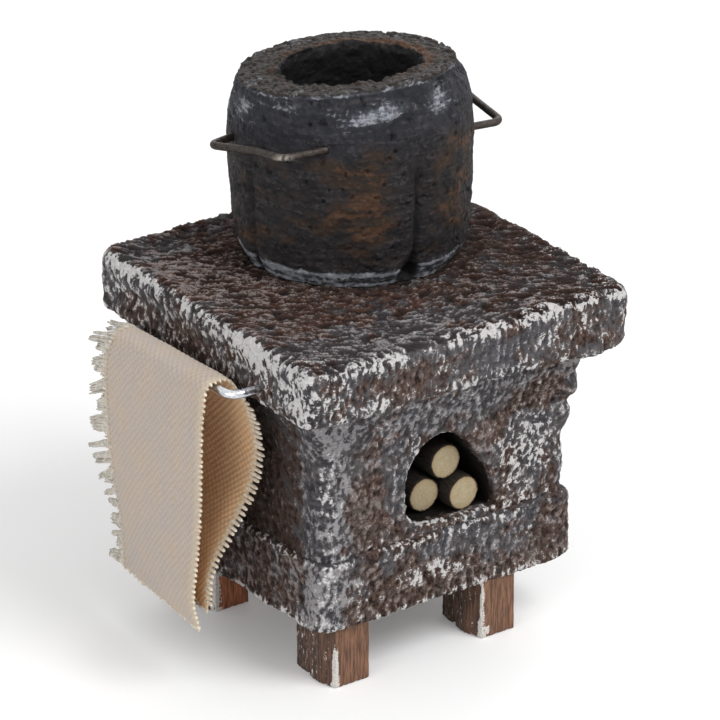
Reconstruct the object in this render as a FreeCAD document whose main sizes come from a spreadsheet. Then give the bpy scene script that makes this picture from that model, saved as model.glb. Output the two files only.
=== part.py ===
import FreeCAD, Part
import math
import os
import Sketcher

# A miniature wood-fired stove for a doll or nativity scene: a cork body on four short
# legs, a fire opening with three logs, a cork pot with wire handles and a towel on a rail.
# Lengths are in millimetres and angles in degrees. The front, with the fire opening,
# faces -Y, the towel hangs on the -X side, and the legs stand on z = 0.

# Sizes: name, value, what it measures. A value in quotes is worked out on the sheet.
SIZES = [
    ("leg_height", 7.8, "legs, from the ground to the hearth slab"),
    ("leg_width", 4.9, "legs, along X"),
    ("leg_depth", 7.9, "legs, along Y"),
    ("leg_bead", 0.7, "legs, how far the moulded face swells"),
    ("leg_groove", 0.35, "legs, depth of the groove in the moulded face"),
    ("leg_left_inset", 2.4, "left legs, in from the hearth slab's left side"),
    ("leg_right_inset", 8.7, "right legs, in from the hearth slab's right side"),
    ("leg_front_inset", 0.4, "front legs, back from the hearth slab's front"),
    ("leg_rear_inset", 3.65, "rear legs, in from the hearth slab's back"),
    ("slab_width", 47.0, "top slab, along X"),
    ("slab_depth", 47.4, "top slab, along Y"),
    ("slab_thickness", 6.9, "top slab, along Z"),
    ("slab_corner", 2.2, "top slab, radius of its upright corners"),
    ("slab_arris", 1.5, "top slab, radius of its worn edges"),
    ("slab_side_overhang", 4.6, "top slab, past each side of the hearth slab"),
    ("slab_front_overhang", 5.3, "top slab, past the front and back of the hearth slab"),
    ("hearth_width", "=slab_width - 2 * slab_side_overhang", "hearth slab, along X"),
    ("hearth_depth", "=slab_depth - 2 * slab_front_overhang", "hearth slab, along Y"),
    ("hearth_thickness", 8.5, "hearth slab, along Z"),
    ("hearth_corner", 2.0, "hearth slab, radius of its upright corners"),
    ("hearth_arris", 0.8, "hearth slab, radius of its worn edges"),
    ("side_ledge", 0.7, "hearth slab, its ledge on each side of the firebox block"),
    ("front_ledge", 0.8, "hearth slab, its ledge before and behind the firebox block"),
    ("firebox_width", "=hearth_width - 2 * side_ledge", "firebox block, along X"),
    ("firebox_depth", "=hearth_depth - 2 * front_ledge", "firebox block, along Y"),
    ("firebox_height", 20.2, "firebox block, along Z"),
    ("firebox_corner", 2.2, "firebox block, radius of its upright corners"),
    ("cove_height", 7.0, "plaster cove under the top slab, along Z"),
    ("cove_reach", 2.0, "plaster cove, how far it spreads at the top"),
    ("niche_width", 13.4, "fire opening, along X"),
    ("niche_height", 11.8, "fire opening, from its floor to the top of the arch"),
    ("niche_depth", 24.0, "fire opening, into the block"),
    ("niche_sill", 0.6, "fire opening, its floor above the hearth slab"),
    ("niche_offset", 0.8, "fire opening, its middle to the right of the stove's"),
    ("log_diameter", 4.6, "firewood, across the bark"),
    ("log_length", 16.0, "firewood, end to end"),
    ("log_edge", 0.25, "firewood, worn edge of the cut ends"),
    ("log_clearance", 0.12, "firewood, gap to the floor and to each other"),
    ("log_recess", 2.0, "firewood, set back from the front of the block"),
    ("log_stagger", 0.8, "firewood, how unevenly the ends line up"),
    ("log_pile_offset", 0.2, "firewood, middle of the lower pair right of the opening's"),
    ("pot_radius", 14.6, "cooking pot, at its fullest"),
    ("pot_height", 23.3, "cooking pot, at its axis"),
    ("pot_mouth_radius", 9.0, "cooking pot, radius of the hollow at the rim"),
    ("pot_floor", 4.5, "cooking pot, thickness of its floor"),
    ("pot_rim_tilt", 7.6, "cooking pot, angle by which the rim is cut out of level"),
    ("pot_rim_turn", 19.0, "cooking pot, turn of the rim's high side from the front"),
    ("pot_rim_round", 0.5, "cooking pot, worn edge of the rim"),
    ("pot_x", 3.7, "cooking pot, its axis right of the stove's middle"),
    ("pot_y", 6.4, "cooking pot, its axis behind the stove's middle"),
    ("pot_clearance", 0.1, "cooking pot, gap to the slab that it stands on"),
    ("handle_wire", 0.95, "pot handles, wire diameter"),
    ("handle_bend", 1.1, "pot handles, radius of the bends"),
    ("handle_reach", 18.0, "pot handles, from the pot's axis to the far corner"),
    ("handle_height", 16.5, "pot handles, height above the pot's base"),
    ("handle_tilt", 8.0, "pot handles, slope from back to front"),
    ("handle_seat", 2.4, "pot handles, length of wire in the pot's wall"),
    ("rail_wire", 1.1, "towel rail, wire diameter"),
    ("rail_bend", 1.6, "towel rail, radius of the bends"),
    ("rail_standoff", 3.6, "towel rail, its axis out from the slab's side"),
    ("rail_length", 25.0, "towel rail, between the axes of its two ends"),
    ("rail_drop", 4.8, "towel rail, its axis below the slab's top"),
    ("rail_y", 0.1, "towel rail, its middle behind the stove's middle"),
    ("rail_dip", 1.3, "towel rail, how much lower its rear end enters the slab"),
    ("rail_collar", 1.0, "towel rail, straight run outside the slab at the rear end"),
    ("rail_seat", 3.5, "towel rail, length of wire in the slab"),
    ("wire_clearance", 0.03, "wire ends, gap to the holes that hold them"),
    ("towel_width", 20.8, "towel, along the rail"),
    ("towel_y", 0.9, "towel, its middle behind the stove's middle"),
    ("towel_thickness", 0.5, "towel, through the cloth"),
    ("towel_drop", 31.6, "towel, from the rail's axis to the lower edge"),
    ("towel_fold", 8.6, "towel, widest gap between the two falls"),
    ("towel_clearance", 0.15, "towel, gap to the rail that it hangs on"),
    ("cut_overrun", 5.0, "how far a cutting shape runs past what it cuts"),
]

document = FreeCAD.newDocument("MiniatureWoodFiredStove")
sheet = document.addObject("Spreadsheet::Sheet", "Sizes")
for row, (name, value, meaning) in enumerate(SIZES, start=1):
    sheet.set("A%d" % row, meaning)
    sheet.set("B%d" % row, str(value))
    sheet.setAlias("B%d" % row, name)
document.recompute()

SUB_PARTS = []


def size(name):
    return float(sheet.get(name))


def cell(name):
    return "Sizes." + name


def add_cell(name, value, meaning):
    row = len(SIZES) + 1
    while sheet.getContents("B%d" % row):
        row += 1
    sheet.set("A%d" % row, meaning)
    sheet.set("B%d" % row, repr(value))
    sheet.setAlias("B%d" % row, name)
    document.recompute()


def finished(item, label):
    item.Label = label
    SUB_PARTS.append(item)
    return item


def place(item, x="", y="", z="", angle=""):
    for axis, formula in (("x", x), ("y", y), ("z", z)):
        if formula:
            item.setExpression("Placement.Base." + axis, formula)
    if angle:
        item.setExpression("Placement.Rotation.Angle", angle)


# Sketches and features shared by the pieces

def new_body(name):
    return document.addObject("PartDesign::Body", name)


def origin_plane(body, role):
    for feature in body.Origin.OriginFeatures:
        if feature.Role == role:
            return feature
    raise ValueError("no plane " + role)


def new_sketch(body, name, role, offset=""):
    sketch = body.newObject("Sketcher::SketchObject", name)
    sketch.AttachmentSupport = [(origin_plane(body, role), "")]
    sketch.MapMode = "FlatFace"
    if offset:
        sketch.setExpression("AttachmentOffset.Base.z", offset)
    return sketch


def measure(point):
    return sum(share * size(name) for name, share in point)


def formula(point):
    return " + ".join("(%s) * %s" % (share, cell(name)) for name, share in point)


def vector(place_2d):
    return FreeCAD.Vector(measure(place_2d[0]), measure(place_2d[1]), 0)


def pin_down(sketch, geometry, end, place_2d):
    """Tie one point of a sketch to formulas on the sheet."""
    for kind, level, point in (("DistanceX", "Vertical", place_2d[0]),
                               ("DistanceY", "Horizontal", place_2d[1])):
        value = measure(point)
        if value == 0:
            sketch.addConstraint(Sketcher.Constraint(level, -1, 1, geometry, end))
            continue
        index = sketch.addConstraint(Sketcher.Constraint(kind, -1, 1, geometry, end, value))
        sketch.setExpression("Constraints[%d]" % index, formula(point))


def draw_outline(sketch, corners):
    """Draw a closed outline. Each corner is (place, via): via, where given, is a point
    that the arc which arrives at the corner runs through, and None makes it straight."""
    count = len(corners)
    for index in range(count):
        start = vector(corners[index - 1][0])
        end = vector(corners[index][0])
        via = corners[index][1]
        if via is None:
            sketch.addGeometry(Part.LineSegment(start, end), False)
        else:
            sketch.addGeometry(Part.Arc(start, vector(via), end), False)
    ends = []
    for index in range(count):
        start = vector(corners[index - 1][0])
        first = sketch.getPoint(index, 1)
        ends.append((1, 2) if first.distanceToPoint(start) < first.distanceToPoint(
            vector(corners[index][0])) else (2, 1))
    for index in range(count):
        following = (index + 1) % count
        sketch.addConstraint(Sketcher.Constraint(
            "Coincident", index, ends[index][1], following, ends[following][0]))
        pin_down(sketch, index, ends[index][1], corners[index][0])
    for index in range(count):
        via = corners[index][1]
        if via is not None:
            point = sketch.addGeometry(Part.Point(vector(via)), True)
            sketch.addConstraint(Sketcher.Constraint("PointOnObject", point, 1, index))
            pin_down(sketch, point, 1, via)


def draw_rectangle(sketch, width, depth):
    half_width = [(name, share / 2) for name, share in width]
    half_depth = [(name, share / 2) for name, share in depth]
    less_width = [(name, -share) for name, share in half_width]
    less_depth = [(name, -share) for name, share in half_depth]
    draw_outline(sketch, [((half_width, less_depth), None), ((half_width, half_depth), None),
                          ((less_width, half_depth), None), ((less_width, less_depth), None)])


def draw_circle(sketch, place_2d, radius):
    circle = sketch.addGeometry(Part.Circle(vector(place_2d), FreeCAD.Vector(0, 0, 1),
                                            measure(radius)), False)
    pin_down(sketch, circle, 3, place_2d)
    index = sketch.addConstraint(Sketcher.Constraint("Radius", circle, measure(radius)))
    sketch.setExpression("Constraints[%d]" % index, formula(radius))


def draw_bent_line(sketch, corners, radius):
    """Draw an open line whose inner corners are rounded, each at one bend radius."""
    points = [vector(corner) for corner in corners]
    bend = measure(radius)
    cuts = [points[0]]
    middles = []
    for before, corner, after in zip(points, points[1:], points[2:]):
        come = (before - corner).normalize()
        leave = (after - corner).normalize()
        half = come.getAngle(leave) / 2
        reach = bend / math.tan(half)
        centre = corner + (come + leave).normalize() * (bend / math.sin(half))
        cuts.append(corner + come * reach)
        middles.append(centre + (corner - centre).normalize() * bend)
        cuts.append(corner + leave * reach)
    cuts.append(points[-1])
    lines = [sketch.addGeometry(Part.LineSegment(cuts[2 * index], cuts[2 * index + 1]), False)
             for index in range(len(points) - 1)]
    for index, middle in enumerate(middles):
        start, end = cuts[2 * index + 1], cuts[2 * index + 2]
        arc = sketch.addGeometry(Part.Arc(start, middle, end), False)
        near = sketch.getPoint(arc, 1).distanceToPoint(start)
        far = sketch.getPoint(arc, 2).distanceToPoint(start)
        first, last = (1, 2) if near < far else (2, 1)
        sketch.addConstraint(Sketcher.Constraint("Tangent", lines[index], 2, arc, first))
        sketch.addConstraint(Sketcher.Constraint("Tangent", arc, last, lines[index + 1], 1))
        size_index = sketch.addConstraint(Sketcher.Constraint("Radius", arc, bend))
        sketch.setExpression("Constraints[%d]" % size_index, formula(radius))
        corner = sketch.addGeometry(Part.Point(points[index + 1]), True)
        sketch.addConstraint(Sketcher.Constraint("PointOnObject", corner, 1, lines[index]))
        sketch.addConstraint(Sketcher.Constraint("PointOnObject", corner, 1, lines[index + 1]))
        pin_down(sketch, corner, 1, corners[index + 1])
    pin_down(sketch, lines[0], 1, corners[0])
    pin_down(sketch, lines[-1], 2, corners[-1])


def pad(body, name, sketch, length):
    feature = body.newObject("PartDesign::Pad", name)
    feature.Profile = sketch
    feature.setExpression("Length", length)
    document.recompute()
    return feature


def cut_away(body, kind, name, sketch, settings, formulas):
    """Add a pocket or a groove, and make sure that it takes something away."""
    before = body.Shape.Volume
    feature = body.newObject("PartDesign::" + kind, name)
    feature.Profile = sketch
    for setting, value in settings.items():
        setattr(feature, setting, value)
    for setting, value in formulas.items():
        feature.setExpression(setting, value)
    document.recompute()
    if not body.Shape.Volume < before:
        raise ValueError(name + " cuts nothing")
    return feature


def round_edges(body, name, chosen, radius, kind="Fillet"):
    """Round or bevel the edges of a body's tip that chosen says yes to."""
    tip = body.Tip
    names = ["Edge%d" % (index + 1) for index, edge in enumerate(tip.Shape.Edges) if chosen(edge)]
    feature = body.newObject("PartDesign::" + kind, name)
    feature.Base = (tip, names)
    feature.setExpression("Radius" if kind == "Fillet" else "Size", radius)
    document.recompute()
    return feature


def is_upright(edge):
    box = edge.BoundBox
    return box.ZLength > 0 and max(box.XLength, box.YLength) < box.ZLength


def lies_at(height):
    def chosen(edge):
        box = edge.BoundBox
        return abs(box.ZMin - height) < Part.Precision.confusion() \
            and abs(box.ZMax - height) < Part.Precision.confusion()
    return chosen


# Heights at which the layers of the stove meet
hearth_top = cell("leg_height") + " + " + cell("hearth_thickness")
firebox_top = hearth_top + " + " + cell("firebox_height")
slab_top = firebox_top + " + " + cell("slab_thickness")
pot_foot = slab_top + " + " + cell("pot_clearance")


# Towel: a strip of twill hung over the rail. Its outer fall hangs almost straight, and
# its inner fall bellies out under the slab and comes back to the outer one near the hem.
# Each section is cut across the rail. It runs from the outer hem over the rail to the
# inner hem, in shares of the widest gap along X and of the drop along Z.
OUTER_FALL_SHARES = [
    [(-0.35, -0.955), (-0.46, -0.83), (-0.30, -0.51), (-0.28, -0.165)],
    [(-0.16, -0.965), (-0.28, -0.83), (-0.30, -0.51), (-0.25, -0.17)],
    [(0.02, -0.975), (0.03, -0.82), (-0.16, -0.50), (-0.23, -0.18)],
]
INNER_FALL_SHARES = [
    [(0.50, -0.10), (0.67, -0.27), (0.58, -0.43), (0.14, -0.60), (-0.17, -0.73), (-0.21, -0.885)],
    [(0.46, -0.10), (0.59, -0.27), (0.57, -0.44), (0.33, -0.61), (0.13, -0.75), (0.05, -0.90)],
    [(0.41, -0.10), (0.50, -0.28), (0.52, -0.46), (0.47, -0.63), (0.37, -0.78), (0.28, -0.90)],
]
SECTION_WIDTH_SHARES = [-0.5, 0.0, 0.5]
CREST_SHARES = [-0.18, 0.2]
# Share of the shorter run beside a bend that the bend may use up
BEND_RUN_SHARE = 0.45


def towel_line(outer, inner):
    """The cloth's middle line across the rail, as corner points seen along Y."""
    fold, drop = size("towel_fold"), size("towel_drop")
    crest = size("rail_wire") / 2 + size("towel_clearance") + size("towel_thickness") / 2
    points = [(x * fold, z * drop) for x, z in outer]
    points += [(x * fold, crest) for x in CREST_SHARES]
    points += [(x * fold, z * drop) for x, z in inner]
    return [FreeCAD.Vector(x, 0, z) for x, z in points]


def towel_section(points, y):
    """A closed outline of the cloth's thickness about its middle line, at one y."""
    half = size("towel_thickness") / 2
    along_y = FreeCAD.Vector(0, y, 0)

    def across(direction):
        return FreeCAD.Vector(direction.z, 0, -direction.x) * half

    stations = []
    length = 0
    for before, corner, after in zip(points, points[1:], points[2:]):
        come, leave = corner - before, after - corner
        reach = BEND_RUN_SHARE * min(come.Length, leave.Length)
        come.normalize()
        leave.normalize()
        turn = come.getAngle(leave)
        radius = reach / math.tan(turn / 2)
        middle_way = (come + leave).normalize()
        inward = (leave - come).normalize()
        middle = corner + inward * (radius / math.cos(turn / 2) - radius)
        stations.append(((corner - come * reach, across(come)), (middle, across(middle_way)),
                         (corner + leave * reach, across(leave))))
        length += radius * turn - 2 * reach
    length += sum((end - start).Length for start, end in zip(points, points[1:]))
    first = (points[1] - points[0]).normalize()
    last = (points[-1] - points[-2]).normalize()

    def side(sign):
        edges = []
        here = points[0] + across(first) * sign + along_y
        for bend in stations:
            start, middle, end = (place + shift * sign + along_y for place, shift in bend)
            edges.append(Part.LineSegment(here, start).toShape())
            edges.append(Part.Arc(start, middle, end).toShape())
            here = end
        end = points[-1] + across(last) * sign + along_y
        edges.append(Part.LineSegment(here, end).toShape())
        return edges

    front, back = side(1), side(-1)
    hem = Part.LineSegment(back[0].Vertexes[0].Point, front[0].Vertexes[0].Point).toShape()
    end_hem = Part.LineSegment(front[-1].Vertexes[-1].Point, back[-1].Vertexes[-1].Point).toShape()
    return Part.Wire(front + [end_hem] + back[::-1] + [hem]), length


def make_towel():
    sections = []
    for outer, inner, share in zip(OUTER_FALL_SHARES, INNER_FALL_SHARES, SECTION_WIDTH_SHARES):
        section, length = towel_section(towel_line(outer, inner), share * size("towel_width"))
        sections.append(section)
        print("towel length along the cloth at %g of its width: %.1f mm" % (share, length))
    towel = document.addObject("Part::Feature", "Towel")
    towel.Shape = Part.makeLoft(sections, True, False)
    return finished(towel, "towel")


towel = make_towel()

# The part's origin is under the middle of the whole outline, towel included, so the stove
# stands off to the right by half of what the towel reaches past the slab.
slab_side = size("slab_width") / 2
towel_side = slab_side + size("rail_standoff") - towel.Shape.BoundBox.XMin
add_cell("stove_x", (towel_side - slab_side) / 2, "stove's middle, right of the part's origin")
rail_x = "%s - %s / 2 - %s" % (cell("stove_x"), cell("slab_width"), cell("rail_standoff"))
rail_z = slab_top + " - " + cell("rail_drop")
place(towel, rail_x, cell("towel_y"), rail_z)


# Legs: four offcuts of one moulding, with its moulded face to the left. Each corner of that
# face, and the point that its arc runs through, is in shares of the bead's swell, the
# groove's depth and the leg's depth.
LEG_FACE_SHARES = [
    ((0.45, 0, 0.70), (0.3, 0, 0.86)),
    ((0.55, 1, 0.64), None),
    ((0.7, 0, 0.58), None),
    ((0.9, 0, 0.28), (1, 0, 0.43)),
]


def face_place(shares):
    bead, groove, depth = shares
    return [("leg_bead", -bead), ("leg_groove", groove)], [("leg_depth", depth)]


def make_leg(name, x, y):
    body = new_body("Leg_" + name)
    sketch = new_sketch(body, "Moulding_" + name, "XY_Plane")
    left, right = [("leg_width", 0)], [("leg_width", 1)]
    front, back = [("leg_depth", 0)], [("leg_depth", 1)]
    corners = [((left, front), None), ((right, front), None),
               ((right, back), None), ((left, back), None)]
    corners += [(face_place(corner), None if via is None else face_place(via))
                for corner, via in LEG_FACE_SHARES]
    draw_outline(sketch, corners)
    pad(body, "Length_" + name, sketch, cell("leg_height"))
    place(body, x, y)
    return finished(body, name)


left_x = "%s - %s / 2 + %s" % (cell("stove_x"), cell("hearth_width"), cell("leg_left_inset"))
right_x = "%s + %s / 2 - %s - %s" % (cell("stove_x"), cell("hearth_width"),
                                     cell("leg_right_inset"), cell("leg_width"))
front_y = "%s - %s / 2" % (cell("leg_front_inset"), cell("hearth_depth"))
rear_y = "%s / 2 - %s - %s" % (cell("hearth_depth"), cell("leg_rear_inset"), cell("leg_depth"))
for leg_name, leg_x, leg_y in (("front_left_leg", left_x, front_y),
                               ("front_right_leg", right_x, front_y),
                               ("rear_left_leg", left_x, rear_y),
                               ("rear_right_leg", right_x, rear_y)):
    make_leg(leg_name, leg_x, leg_y)


# Hearth slab: the block that the legs are glued to, with a ledge round the firebox
def make_hearth_slab():
    body = new_body("HearthSlab")
    sketch = new_sketch(body, "HearthPlan", "XY_Plane")
    draw_rectangle(sketch, [("hearth_width", 1)], [("hearth_depth", 1)])
    pad(body, "HearthThickness", sketch, cell("hearth_thickness"))
    round_edges(body, "HearthCorners", is_upright, cell("hearth_corner"))
    round_edges(body, "HearthLowerArris", lies_at(0), cell("hearth_arris"))
    round_edges(body, "HearthUpperArris", lies_at(size("hearth_thickness")), cell("hearth_arris"))
    place(body, cell("stove_x"), "", cell("leg_height"))
    return finished(body, "hearth_slab")


make_hearth_slab()


# Firebox block: a cork block with a plaster cove under the slab and an arched opening.
# The arch is in shares of its width, from its middle, and of its height, from its floor.
NICHE_SHARES = [
    ((0.22, 0.0), None),
    ((0.50, 0.01), None),
    ((0.46, 0.24), None),
    ((0.22, 0.74), (0.37, 0.52)),
    ((-0.12, 1.0), (0.07, 0.94)),
    ((-0.46, 0.70), (-0.33, 0.90)),
    ((-0.50, 0.34), (-0.50, 0.52)),
    ((-0.29, 0.05), (-0.45, 0.15)),
]


def niche_place(shares):
    across, up = shares
    return ([("niche_offset", 1), ("niche_width", across)],
            [("niche_sill", 1), ("niche_height", up)])


def make_firebox_block():
    body = new_body("FireboxBlock")
    plan = new_sketch(body, "FireboxPlan", "XY_Plane")
    width, depth = [("firebox_width", 1)], [("firebox_depth", 1)]
    draw_rectangle(plan, width, depth)
    pad(body, "FireboxHeight", plan, cell("firebox_height"))

    foot = new_sketch(body, "CoveFoot", "XY_Plane",
                      cell("firebox_height") + " - " + cell("cove_height"))
    draw_rectangle(foot, width, depth)
    head = new_sketch(body, "CoveHead", "XY_Plane", cell("firebox_height"))
    draw_rectangle(head, width + [("cove_reach", 2)], depth + [("cove_reach", 2)])
    cove = body.newObject("PartDesign::AdditiveLoft", "PlasterCove")
    cove.Profile = foot
    cove.Sections = [head]
    cove.Ruled = True
    document.recompute()
    round_edges(body, "FireboxCorners", is_upright, cell("firebox_corner"))

    arch = new_sketch(body, "FireOpening", "XZ_Plane", cell("firebox_depth") + " / 2")
    draw_outline(arch, [(niche_place(corner), None if via is None else niche_place(via))
                        for corner, via in NICHE_SHARES])
    cut_away(body, "Pocket", "FireOpeningDepth", arch, {}, {"Length": cell("niche_depth")})
    place(body, cell("stove_x"), "", hearth_top)
    return finished(body, "firebox_block")


make_firebox_block()


# Firewood: two short logs side by side on the sloping floor of the opening, one on top
def log_places():
    """Middle of each log's front end, in the opening's own plane, from its floor's left."""
    pitch = size("log_diameter") + size("log_clearance")
    lift = size("log_diameter") / 2 + size("log_clearance")
    (left, rise), (right, level) = NICHE_SHARES[-1][0], NICHE_SHARES[0][0]
    run = (right - left) * size("niche_width")
    slope = math.atan2((level - rise) * size("niche_height"), run)
    along = FreeCAD.Vector(math.cos(slope), 0, math.sin(slope))
    square = FreeCAD.Vector(-math.sin(slope), 0, math.cos(slope))
    corner = FreeCAD.Vector(left * size("niche_width"), 0, rise * size("niche_height"))
    middle = size("log_pile_offset") - corner.x
    base = corner + along * (middle / math.cos(slope)) + square * lift
    half = pitch / 2
    return {
        "firewood_log_left": base - along * half,
        "firewood_log_right": base + along * half,
        "firewood_log_top": base + square * math.sqrt(pitch ** 2 - half ** 2),
    }


LOG_STAGGER_SHARES = {
    "firewood_log_left": 1.0,
    "firewood_log_right": -1.0,
    "firewood_log_top": 0.2,
}


def make_log(name, middle):
    body = new_body("Log_" + name)
    sketch = new_sketch(body, "Round_" + name, "XZ_Plane")
    zero = [("log_diameter", 0)]
    draw_circle(sketch, (zero, zero), [("log_diameter", 0.5)])
    cylinder = pad(body, "Length_" + name, sketch, cell("log_length"))
    cylinder.Reversed = True
    document.recompute()
    round_edges(body, "CutEnds_" + name, lambda edge: edge.Closed, cell("log_edge"), "Chamfer")
    add_cell(name + "_x", middle.x, name + ", its axis right of the opening's middle")
    add_cell(name + "_z", middle.z, name + ", its axis above the opening's floor")
    place(body,
          "%s + %s + %s" % (cell("stove_x"), cell("niche_offset"), cell(name + "_x")),
          "%s - %s / 2 + (%s) * %s" % (cell("log_recess"), cell("firebox_depth"),
                                       LOG_STAGGER_SHARES[name], cell("log_stagger")),
          "%s + %s + %s" % (hearth_top, cell("niche_sill"), cell(name + "_z")))
    return finished(body, name)


for log_name, log_middle in log_places().items():
    make_log(log_name, log_middle)


# Top slab: the cooking top, with two holes in its left side for the towel rail. It was cut
# by hand a little out of square. Its corners are in shares of its width and its depth.
SLAB_CORNER_SHARES = [(-0.5, -0.485), (0.487, -0.5), (0.5, 0.5), (-0.455, 0.49)]


def make_top_slab():
    body = new_body("TopSlab")
    sketch = new_sketch(body, "SlabPlan", "XY_Plane")
    draw_outline(sketch, [(([("slab_width", x)], [("slab_depth", y)]), None)
                          for x, y in SLAB_CORNER_SHARES])
    pad(body, "SlabThickness", sketch, cell("slab_thickness"))
    round_edges(body, "SlabCorners", is_upright, cell("slab_corner"))
    round_edges(body, "SlabUpperArris", lies_at(size("slab_thickness")), cell("slab_arris"))
    round_edges(body, "SlabLowerArris", lies_at(0), cell("slab_arris"))
    holes = new_sketch(body, "RailHoles", "YZ_Plane", "-%s / 2" % cell("slab_width"))
    height = [("slab_thickness", 1), ("rail_drop", -1)]
    radius = [("rail_wire", 0.5), ("wire_clearance", 1)]
    draw_circle(holes, ([("rail_y", 1), ("rail_length", -0.5)], height), radius)
    draw_circle(holes, ([("rail_y", 1), ("rail_length", 0.5)], height + [("rail_dip", -1)]), radius)
    cut_away(body, "Pocket", "RailHoleDepth", holes, {"Reversed": True},
             {"Length": cell("rail_seat") + " + " + cell("wire_clearance")})
    place(body, cell("stove_x"), "", firebox_top)
    return finished(body, "top_slab")


make_top_slab()


# Wire forms: a bent wire lies in one plane and is swept by its own round section
def make_wire(name, label, corners, wire, bend):
    body = new_body(name)
    spine = new_sketch(body, name + "Line", "XY_Plane")
    draw_bent_line(spine, corners, [(bend, 1)])
    section = new_sketch(body, name + "Section", "XY_Plane")
    start, second = vector(corners[0]), vector(corners[1])
    section.AttachmentOffset = FreeCAD.Placement(
        start, FreeCAD.Rotation(FreeCAD.Vector(0, 0, 1), (second - start).normalize()))
    zero = [(wire, 0)]
    draw_circle(section, (zero, zero), [(wire, 0.5)])
    document.recompute()
    sweep = body.newObject("PartDesign::AdditivePipe", name + "Sweep")
    sweep.Profile = section
    sweep.Spine = (spine, [])
    document.recompute()
    return finished(body, label)


# Towel rail: a staple of bright wire, its two ends pushed into the slab's left side. It is
# bent by hand out of one plane, because the rear end dips before it enters the slab.
def make_towel_rail():
    out, dip = size("rail_standoff"), size("rail_dip")
    seat = out + size("rail_seat")
    collar = out - size("rail_collar")
    front, back = -size("rail_length") / 2, size("rail_length") / 2
    points = [FreeCAD.Vector(seat, front, 0), FreeCAD.Vector(0, front, 0),
              FreeCAD.Vector(0, back, 0), FreeCAD.Vector(collar, back, -dip),
              FreeCAD.Vector(seat, back, -dip)]
    bend = size("rail_bend")
    edges = []
    here = points[0]
    for before, corner, after in zip(points, points[1:], points[2:]):
        come = (before - corner).normalize()
        leave = (after - corner).normalize()
        half = come.getAngle(leave) / 2
        reach = bend / math.tan(half)
        inward = (come + leave).normalize()
        middle = corner + inward * (bend / math.sin(half) - bend)
        edges.append(Part.LineSegment(here, corner + come * reach).toShape())
        edges.append(Part.Arc(corner + come * reach, middle, corner + leave * reach).toShape())
        here = corner + leave * reach
    edges.append(Part.LineSegment(here, points[-1]).toShape())
    section = Part.Wire(Part.makeCircle(size("rail_wire") / 2, points[0], FreeCAD.Vector(1, 0, 0)))
    rail = document.addObject("Part::Feature", "TowelRail")
    rail.Shape = Part.Wire(edges).makePipeShell([section], True, False)
    place(rail, rail_x, cell("rail_y"), rail_z)
    return finished(rail, "towel_rail")


make_towel_rail()


# Cooking pot: a turned and hollowed length of cork, cut out of level at the rim. The
# profile is in shares of the pot's radius and height, from the middle of its base.
POT_PROFILE_SHARES = [
    ((0.0, 0.0), None),
    ((0.87, 0.0), None),
    ((0.945, 0.085), None),
    ((0.985, 0.81), (1.0, 0.48)),
    ((0.84, 1.11), (0.935, 0.955)),
    ((0.78, 1.14), None),
    ((0.0, 1.14), None),
]
POT_HOLLOW_FOOT_SHARE = 0.84
# Corners of each handle, seen from above: shares of the reach along X, and along Y, from
# the pot's axis. The first and last corner are where the wire meets the wall.
LEFT_HANDLE_SHARES = [(-0.765, 0.275), (-0.985, 0.215), (-0.885, -0.19), (-0.89, -0.48),
                      (-0.60, -0.525)]
RIGHT_HANDLE_SHARES = [(0.655, -0.47), (0.885, -0.50), (0.91, -0.17), (0.945, 0.145),
                       (0.76, 0.30)]


def seated_ends(shares):
    """A handle's corners, with each end carried on into the pot's wall by the seat."""
    reach = size("handle_reach")
    points = [FreeCAD.Vector(x, y, 0) for x, y in shares]
    longer = size("handle_seat") / reach
    points[0] = points[0] + (points[0] - points[1]).normalize() * longer
    points[-1] = points[-1] + (points[-1] - points[-2]).normalize() * longer
    return [([("handle_reach", point.x)], [("handle_reach", point.y)]) for point in points]


def make_handle(name, label, shares, tilt):
    handle = make_wire(name, label, seated_ends(shares), "handle_wire", "handle_bend")
    handle.Placement.Rotation = FreeCAD.Rotation(FreeCAD.Vector(1, 0, 0), 1)
    place(handle, cell("stove_x") + " + " + cell("pot_x"), cell("pot_y"),
          pot_foot + " + " + cell("handle_height"), tilt)
    document.recompute()
    return handle


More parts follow.
